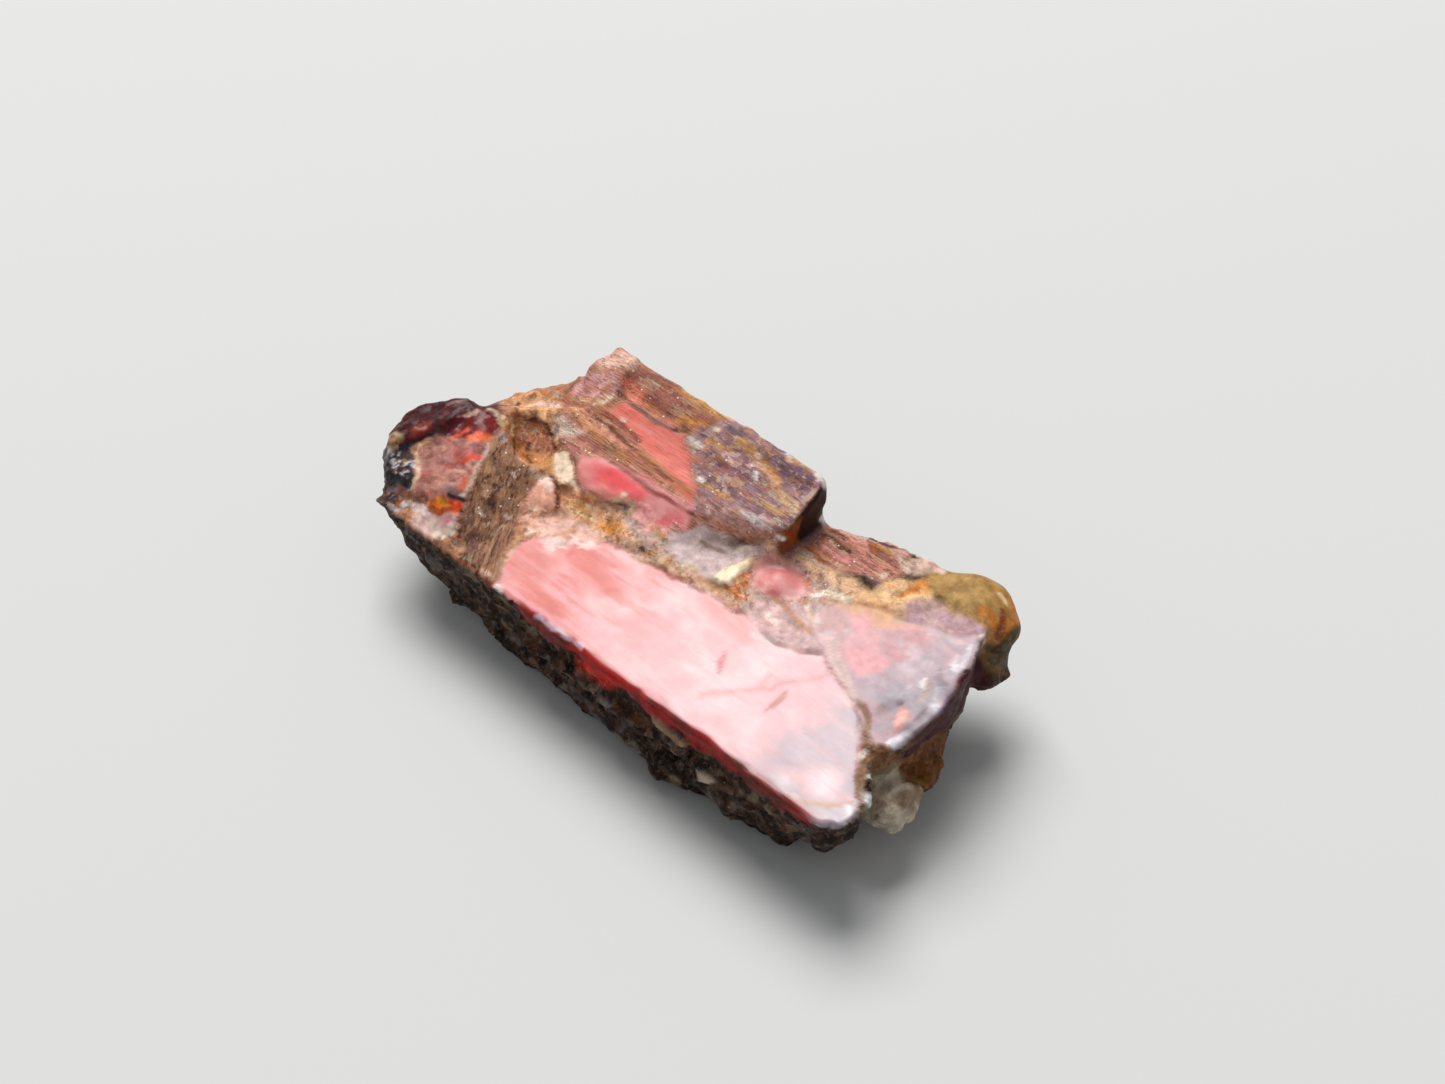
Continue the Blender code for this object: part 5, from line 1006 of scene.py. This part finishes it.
streaks(
    (0.08, (224, 186, 168), (-6.23, -1.79, 4.68), (-6.11, -2.07, 4.56), (-6.03, -2.38, 4.43), (-5.87, -2.7, 4.28),
     (-5.78, -2.99, 4.14), (-5.78, -3.27, 3.99)),
    (0.17, (62, 16, 18), (-8.91, -2.86, 4.36), (-9.0, -2.31, 4.42), (-8.9, -1.89, 4.48), (-8.68, -1.48, 4.63),
     (-8.25, -1.25, 4.85), (-7.83, -1.03, 4.88), (-7.5, -0.68, 4.74)),
    (0.08, (190, 146, 128), (-7.7, -1.6, 4.7), (-7.57, -1.36, 4.74), (-7.45, -1.07, 4.82)),
    (0.08, (150, 104, 100), (-8.4, -1.44, 4.72), (-8.17, -1.2, 4.86), (-8.06, -0.98, 4.87)),
    (0.14, (62, 34, 36), (-8.64, -1.6, 4.61), (-8.19, -2.05, 4.69), (-8.02, -2.3, 4.54), (-7.65, -2.13, 4.5)),
    (0.14, (44, 20, 26), (-8.6, -3.16, 4.09), (-8.32, -2.92, 4.22), (-8.08, -2.62, 4.36), (-7.96, -2.35, 4.49)),
    (0.25, (30, 22, 24), (-8.45, -3.82, 3.52), (-8.02, -3.8, 3.62), (-7.48, -3.78, 3.75)),
    (0.17, (34, 30, 48), (-8.62, -3.22, 4.03), (-8.44, -3.06, 4.12), (-8.25, -2.92, 4.18)),
    (0.14, (140, 108, 70), (-9.07, -3.24, 3.93), (-8.74, -3.18, 4.16), (-8.69, -3.01, 4.28)),
    (0.11, (176, 156, 124), (-8.99, -3.03, 4.27), (-8.75, -3.0, 4.32)),
    (0.14, (206, 154, 116), (-8.22, -2.95, 4.14), (-8.07, -2.75, 4.26), (-7.95, -2.54, 4.34)),
    (0.14, (214, 176, 146), (-8.02, -2.97, 4.12), (-7.67, -3.25, 4.02), (-7.36, -3.59, 3.94), (-7.33, -3.84, 3.73)),
    (0.11, (112, 92, 102), (-8.21, -4.07, 3.25), (-7.94, -3.98, 3.36)),
    (0.17, (44, 32, 48), (-8.01, -4.25, 3.18), (-7.71, -4.15, 3.26)),
    # Painted glint: the pale curl on the metal.
    (0.11, (176, 166, 172), (-7.75, -4.39, 3.17), (-7.37, -4.41, 3.23), (-7.33, -4.2, 3.31)),
    (0.17, (236, 222, 214), (-7.4, -4.14, 3.34), (-7.17, -4.1, 3.42)),
    (0.22, (244, 218, 212), (-6.94, -4.14, 3.41), (-6.68, -4.05, 3.51), (-6.43, -4.11, 3.56)),
    (0.19, (170, 78, 36), (-6.36, -4.0, 3.69), (-6.0, -3.94, 3.72), (-5.83, -3.7, 3.82)),
    # The next two bright orange and red marks: the crystal's colour, brightened as painted glow.
    (0.19, (246, 148, 44), (-6.17, -3.75, 3.95), (-5.97, -3.68, 3.91)),
    (0.19, (226, 74, 34), (-5.89, -3.56, 3.89), (-5.72, -3.45, 3.87)),
    (0.11, (56, 40, 52), (-6.04, -3.48, 4.08), (-5.88, -3.37, 3.99), (-5.69, -3.28, 3.94)),
    (0.08, (158, 128, 126), (-6.44, -3.38, 4.15), (-6.14, -3.38, 4.18), (-5.95, -3.29, 4.09)),
    (0.08, (206, 150, 130), (-6.6, -3.21, 4.12), (-6.6, -3.01, 4.22), (-6.44, -2.88, 4.31), (-6.26, -2.83, 4.35)),
    (0.08, (226, 80, 58), (-6.46, -2.54, 4.42), (-6.4, -2.32, 4.5), (-6.14, -2.16, 4.55)),
    (0.17, (246, 110, 62), (-7.02, -1.86, 4.59), (-6.67, -1.79, 4.64), (-6.52, -1.58, 4.67)),
    (0.11, (226, 92, 62), (-7.47, -2.1, 4.51), (-7.32, -1.91, 4.59), (-7.25, -1.69, 4.64)),
    (0.28, (110, 28, 26), (-7.43, -1.57, 4.66), (-7.24, -1.34, 4.77), (-6.94, -1.3, 4.77)),
    (0.19, (96, 22, 34), (-7.72, -1.98, 4.59), (-7.67, -1.75, 4.62), (-7.63, -1.55, 4.67)),
    (0.25, (222, 160, 96), (-6.52, -0.92, 4.94), (-6.35, -0.91, 4.76)),
    (0.06, (206, 176, 152), (-7.23, -0.83, 4.88), (-6.91, -0.84, 4.92), (-6.45, -0.99, 4.91)),
    (0.06, (214, 180, 148), (-6.64, -0.81, 4.91), (-6.51, -0.64, 4.76)),
    (0.08, (176, 156, 156), (-6.25, -1.27, 4.79), (-6.02, -1.37, 4.72)),
    (0.11, (84, 56, 50), (-7.28, -0.45, 4.75), (-7.01, -0.3, 4.78), (-7.01, 0.08, 4.58)),
    (0.11, (92, 48, 36), (-6.41, -0.25, 4.49), (-6.23, 0.06, 4.51), (-5.86, 0.12, 4.47), (-5.47, -0.02, 4.37),
     (-5.04, -0.32, 4.33)),
    (0.08, (150, 96, 48), (-6.42, -0.44, 4.53), (-6.23, -0.81, 4.5), (-5.88, -1.2, 4.58)),
    (0.08, (236, 212, 206), (-6.67, 0.4, 4.62), (-6.38, 0.61, 4.62), (-6.15, 0.88, 4.62)),
    (0.14, (200, 116, 54), (-7.34, 0.39, 4.58), (-7.15, 0.7, 4.63), (-6.66, 0.85, 4.73)),
    # Painted shade: the dark line along the knob's back and right edge.
    (0.11, (96, 50, 36), (-4.44, -1.1, 4.1), (-4.14, -1.15, 4.05), (-3.93, -1.29, 3.85), (-3.74, -1.53, 3.71)),
    # Painted highlight: the bright rim on the knob's upper edge.
    (0.22, (255, 214, 196), (-4.54, -1.24, 4.05), (-4.19, -1.34, 4.07)),
    (0.11, (246, 206, 178), (-4.34, -2.02, 3.66), (-4.12, -1.9, 3.68)),
    # Painted glints: the tiny pale specks that follow, down to the dark lines.
    (0.08, (218, 190, 172), (-5.24, -1.78, 4.25), (-5.14, -1.8, 4.2)),
    (0.08, (206, 188, 180), (-4.86, -1.36, 4.16), (-4.75, -1.28, 4.1)),
    (0.11, (212, 184, 166), (-4.65, -2.66, 3.59), (-4.55, -2.6, 3.54)),
    (0.06, (206, 180, 160), (-5.24, -3.14, 3.74), (-5.14, -3.13, 3.68)),
    (0.06, (206, 176, 146), (-4.47, -2.99, 3.47), (-4.46, -2.93, 3.48)),
    (0.06, (244, 206, 186), (-5.42, -1.33, 4.41), (-5.38, -1.33, 4.4)),
    (0.06, (206, 188, 176), (-4.96, -1.31, 4.26), (-4.89, -1.33, 4.2)),
    (0.06, (206, 180, 160), (-4.88, -3.22, 3.56), (-4.82, -3.2, 3.54)),
    (0.08, (70, 40, 24), (-5.89, -0.57, 4.16), (-5.3, -1.08, 4.16)),
    (0.08, (66, 40, 32), (-5.64, -2.41, 4.23), (-5.25, -2.77, 3.87), (-4.93, -3.21, 3.59)),
    (0.08, (70, 44, 34), (-5.33, -2.34, 4.06), (-5.07, -2.79, 3.8), (-4.92, -2.86, 3.67)),
    (0.08, (104, 62, 32), (-6.04, -1.02, 4.52), (-5.6, -1.47, 4.51), (-5.28, -1.58, 4.36)),
    (0.08, (206, 160, 126), (-5.66, -2.53, 4.14), (-5.37, -2.74, 3.93)),
    (0.08, (214, 164, 120), (-3.81, -2.95, 3.45), (-3.68, -3.3, 3.4), (-3.56, -3.72, 3.32)),
    (0.08, (232, 208, 190), (-6.12, -4.25, 3.39), (-5.7, -4.24, 3.43), (-5.34, -4.18, 3.47), (-5.37, -3.83, 3.59)),
    (0.08, (100, 60, 58), (-5.56, -3.49, 3.78), (-5.34, -3.74, 3.63), (-5.13, -4.03, 3.42)),
    (0.11, (206, 176, 160), (-5.08, -4.23, 3.32), (-4.98, -4.26, 3.26)),
    (0.19, (84, 20, 20), (-4.65, -4.37, 3.21), (-4.19, -4.48, 3.2), (-3.87, -4.54, 3.15)),
    (0.14, (216, 176, 150), (-3.81, -4.37, 3.23), (-3.58, -4.35, 3.21)),
    (0.11, (140, 124, 96), (-4.5, -4.39, 3.24), (-4.32, -4.35, 3.26)))


# The skin's relief: grooves along the slab, fibres down the head's facet, and lumps and pits in the
# crust. It is worked into the points, and the finer lines below it are left to the finish.
GROOVE_HEIGHT = 0.014
FIBRE_HEIGHT = 0.03
CRUST_HEIGHT = 0.05
CHIP_HEIGHT = 0.06
GROOVE_SIZE = (2.4, 0.2, 0.2)
FIBRE_SIZE = (1.6, 0.2, 0.4)
CRUST_SIZE = 0.42
CHIP_SIZE = 0.4
FIBRE_TURN = math.radians(-58)
turned = np.stack([X * math.cos(FIBRE_TURN) + Y * math.sin(FIBRE_TURN),
                   Y * math.cos(FIBRE_TURN) - X * math.sin(FIBRE_TURN), Z], axis=1)
relief += GROOVE_HEIGHT * grooved * grain(points, GROOVE_SIZE, 3, 7)
relief += FIBRE_HEIGHT * fibrous * grain(turned, FIBRE_SIZE, 2, 8)
relief += CRUST_HEIGHT * crusty * grain(points, CRUST_SIZE, 3, 9)
relief += CHIP_HEIGHT * np.maximum(crusty, 0.6 * faceted) * chips(points, CHIP_SIZE, 1)
points = np.stack([X, Y, Z], axis=1) + facing * relief[:, None]
low_corner, high_corner = np.array(solid_box) / MM
points = np.clip(points, low_corner, high_corner)
put_points(skin, points)
skin.polygons.foreach_set("use_smooth", np.ones(len(skin.polygons), bool))

def keep(name, values):
    """Stores a value for each point, where the finish reads it."""
    if values.ndim == 2:
        layer = skin.attributes.new(name, "FLOAT_COLOR", "POINT")
        full = np.concatenate([values, np.ones((len(values), 1))], axis=1)
        layer.data.foreach_set("color", full.astype(np.float32).ravel())
    else:
        layer = skin.attributes.new(name, "FLOAT", "POINT")
        layer.data.foreach_set("value", values.astype(np.float32))

keep("stain", np.clip(stain, 0, 1))
for name, values in (("roughness", roughness), ("grooved", grooved), ("fibrous", fibrous),
                     ("crusty", crusty), ("glow", glow), ("glassy", glassy),
                     ("cleaved", cleaved), ("faceted", faceted), ("speckled", speckled)):
    keep(name, np.clip(values, 0, 1))


# The crystal's finish, over the stains: dark and ochre lines in the grooves and between fibres,
# mottled crust, and small bright glints painted white into the colour as painted highlights.
GROOVE_DARK, GROOVE_EARTH = (78, 40, 34), (196, 132, 78)
FIBRE_DARK, FIBRE_TAN, FIBRE_PALE = (70, 40, 28), (196, 146, 108), (216, 172, 140)
GRAIN_DARK, GRAIN_PALE, GRAIN_OCHRE = (74, 40, 28), (238, 208, 178), (204, 124, 56)
PAINTED_GLINT_WHITE, BRUISE_PINK, VEIN_RED = (250, 242, 232), (246, 190, 184), (206, 92, 78)
GROOVE_SPACING, EARTH_SPACING = 0.055, 0.14
FIBRE_SPACING, FIBRE_BAND_SPACING = 0.085, 0.26
SHADE_SIZE, CRUMB_SIZE, ROUGHNESS_SIZE, LUMP_SIZE = 0.3, 0.16, 0.2, 0.5
BRUISE_SIZE, VEIN_SIZE = 0.4, 0.22
GLINTS_PER_MM, STIRS_PER_MM, FACETS_PER_MM = 7.0, 9.0, 5.5
GRAIN_SIZES = ((0.1, 0.22, 0.17), (0.24, 0.1, 0.12))
CRYSTAL_IOR = 1.55
CRYSTAL_SHINE = 0.14
GLOSS_IOR = 2.0
GLOSS_ROUGHNESS = 0.3
RED_SCATTER = (1.0, 0.2, 0.12)
SCATTER_DEPTH = 0.6 * MM
SCATTER_SHARE = 0.6
BUMP_DEPTH = 0.03 * MM
finish = bpy.data.materials.new("manganotantalite")
finish.use_nodes = True
tree = finish.node_tree
body = tree.nodes["Principled BSDF"]

def step(kind, settings=None, **sockets):
    """One step of the finish. A socket is given by its name, or by i and its place in the row."""
    node = tree.nodes.new("ShaderNode" + kind)
    for name, value in (settings or {}).items():
        setattr(node, name, value)
    for name, value in sockets.items():
        numbered = name[0] == "i" and name[1:].isdigit()
        socket = node.inputs[int(name[1:]) if numbered else name.replace("_", " ")]
        if isinstance(value, bpy.types.NodeSocket):
            tree.links.new(value, socket)
        else:
            socket.default_value = value
    return node

def sum_of(kind, first, second=0.0, third=0.0):
    """A sum of the named kind."""
    return step("Math", {"operation": kind}, i0=first, i1=second, i2=third).outputs[0]

def times(first, second):
    return sum_of("MULTIPLY", first, second)

def kept(name):
    """What the points carry under a name."""
    return step("Attribute", {"attribute_name": name}).outputs["Fac"]

def stretched(value, low, high, start=0.0, end=1.0):
    """A soft step between two values, as ramp makes over the points."""
    return step("MapRange", {"interpolation_type": "SMOOTHSTEP"}, Value=value, From_Min=low,
                From_Max=high, To_Min=start, To_Max=end).outputs[0]

def covered(share, under, over, mode="MIX"):
    """Lays a colour over what comes before it."""
    node = step("Mix", {"data_type": "RGBA", "blend_type": mode}, i0=share)
    tree.links.new(under, node.inputs[6])
    if isinstance(over, bpy.types.NodeSocket):
        tree.links.new(over, node.inputs[7])
    else:
        node.inputs[7].default_value = (*tone(over), 1.0)
    return node.outputs[2]

def cloudy(where, size, detail=3.0, fineness=0.55):
    """Soft clouds of the given size in millimetres."""
    return step("TexNoise", Vector=where, Scale=1 / size, Detail=detail, Roughness=fineness).outputs["Fac"]

def arrow(kind, first, second, third=None, output=0):
    """A sum of the named kind on places or directions."""
    more = {} if third is None else {"i2": third}
    return step("VectorMath", {"operation": kind}, i0=first, i1=second, **more).outputs[output]

place = step("TexCoord").outputs["Object"]
place = step("VectorMath", {"operation": "SCALE"}, i0=place, Scale=1 / MM).outputs[0]
along_slab = step("Mapping", Vector=place, Scale=(0.12, 1.0, 1.0)).outputs[0]
fibre_way = step("Mapping", Vector=place, Rotation=(0, 0, -FIBRE_TURN)).outputs[0]
fibre_way = step("Mapping", Vector=fibre_way, Scale=(0.14, 1.0, 1.0)).outputs[0]
grooves = kept("grooved")
fibres = kept("fibrous")
crust = kept("crusty")

colour = step("Attribute", {"attribute_name": "stain"}).outputs["Color"]
shade = stretched(cloudy(place, SHADE_SIZE, 6.0, 0.62), 0.28, 0.72, 0.74, 1.3)
shade = step("CombineColor", Red=shade, Green=shade, Blue=shade).outputs[0]
colour = covered(sum_of("MULTIPLY_ADD", kept("cleaved"), -0.8, 1.0), colour, shade, "MULTIPLY")
groove_lines = cloudy(along_slab, GROOVE_SPACING, 5.0, 0.62)
colour = covered(times(stretched(groove_lines, 0.52, 0.64), times(grooves, 0.6)), colour, GROOVE_DARK)
earth_lines = cloudy(along_slab, EARTH_SPACING, 4.0)
colour = covered(times(stretched(earth_lines, 0.56, 0.66), times(grooves, 0.45)), colour, GROOVE_EARTH)
fibre_lines = cloudy(fibre_way, FIBRE_SPACING, 6.0, 0.66)
colour = covered(times(stretched(fibre_lines, 0.5, 0.6), times(fibres, 0.85)), colour, FIBRE_DARK)
fibre_bands = cloudy(fibre_way, FIBRE_BAND_SPACING, 4.0)
colour = covered(times(stretched(fibre_bands, 0.5, 0.64), times(fibres, 0.7)), colour, FIBRE_TAN)
colour = covered(times(stretched(fibre_lines, 0.43, 0.33), times(fibres, 0.6)), colour, FIBRE_PALE)

specks = kept("speckled")
long_way = step("CombineXYZ", X=sum_of("MULTIPLY_ADD", grooves, -0.7, 1.0), Y=1.0, Z=1.0).outputs[0]
speck_place = arrow("MULTIPLY", place, long_way)
stirred = step("TexNoise", Vector=place, Scale=STIRS_PER_MM, Detail=2.0).outputs["Color"]
stirred = arrow("MULTIPLY_ADD", stirred, (0.2, 0.2, 0.2), speck_place)
for size, dark_share, pale_share in GRAIN_SIZES:
    grains = step("TexVoronoi", Vector=stirred, Scale=1 / size)
    pick = step("SeparateColor", i0=grains.outputs["Color"]).outputs
    for chance, share, grain_colour in ((pick[0], dark_share, GRAIN_DARK), (pick[1], pale_share, GRAIN_PALE),
                                        (pick[2], pale_share, GRAIN_OCHRE)):
        colour = covered(times(stretched(chance, 1 - share, 1 - share + 0.04), specks), colour, grain_colour)

# Painted highlights: small cells painted white as glints, with a lower roughness under them.
glint_cells = step("TexVoronoi", Vector=place, Scale=GLINTS_PER_MM)
glint = stretched(glint_cells.outputs["Distance"], 0.26, 0.12)
chosen = step("SeparateColor", i0=glint_cells.outputs["Color"]).outputs[0]
glint = times(glint, stretched(chosen, 0.86, 0.88))
glint = times(glint, sum_of("MAXIMUM", sum_of("MAXIMUM", fibres, grooves), times(specks, 2.0)))
colour = covered(glint, colour, PAINTED_GLINT_WHITE)
cleavage = kept("cleaved")
long_vein = step("Mapping", Vector=place, Rotation=(0, 0, 0.1), Scale=(0.2, 1.0, 1.0)).outputs[0]
bruise = stretched(cloudy(long_vein, BRUISE_SIZE, 5.0, 0.6), 0.48, 0.7)
colour = covered(times(bruise, times(cleavage, 0.25)), colour, BRUISE_PINK)
vein = stretched(cloudy(long_vein, VEIN_SIZE, 4.0), 0.55, 0.68)
colour = covered(times(vein, times(cleavage, 0.2)), colour, VEIN_RED)
tree.links.new(colour, body.inputs["Base Color"])

rough = sum_of("SUBTRACT", kept("roughness"), 0.11)
rough = sum_of("MULTIPLY_ADD", cloudy(place, ROUGHNESS_SIZE, 4.0), 0.22, rough)
rough = sum_of("MULTIPLY_ADD", glint, -0.25, rough)
tree.links.new(rough, body.inputs["Roughness"])
body.inputs["IOR"].default_value = CRYSTAL_IOR
body.inputs["Specular IOR Level"].default_value = CRYSTAL_SHINE
body.inputs["Coat IOR"].default_value = GLOSS_IOR
body.inputs["Coat Roughness"].default_value = GLOSS_ROUGHNESS
tree.links.new(kept("glassy"), body.inputs["Coat Weight"])
body.inputs["Subsurface Radius"].default_value = RED_SCATTER
body.inputs["Subsurface Scale"].default_value = SCATTER_DEPTH
tree.links.new(times(kept("glow"), SCATTER_SHARE), body.inputs["Subsurface Weight"])

height = times(cloudy(place, LUMP_SIZE, 6.0, 0.55), 0.5)
height = sum_of("MULTIPLY_ADD", times(groove_lines, grooves), 1.6, height)
height = sum_of("MULTIPLY_ADD", times(fibre_lines, fibres), 2.0, height)
height = sum_of("MULTIPLY_ADD", times(cloudy(place, CRUMB_SIZE, 5.0, 0.65), crust), 3.0, height)
facets = step("TexVoronoi", Vector=place, Scale=FACETS_PER_MM)
tilt = arrow("SUBTRACT", facets.outputs["Color"], (0.5, 0.5, 0.5))
away = arrow("SUBTRACT", place, facets.outputs["Position"])
facet_height = arrow("DOT_PRODUCT", away, tilt, output="Value")
broken = sum_of("MAXIMUM", crust, kept("faceted"))
height = sum_of("MULTIPLY_ADD", times(facet_height, broken), 26.0, height)
bumps = step("Bump", Height=height, Strength=1.0, Distance=BUMP_DEPTH).outputs[0]
tree.links.new(bumps, body.inputs["Normal"])
skin.materials.append(finish)
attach(crystal, "root")
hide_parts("crystal")
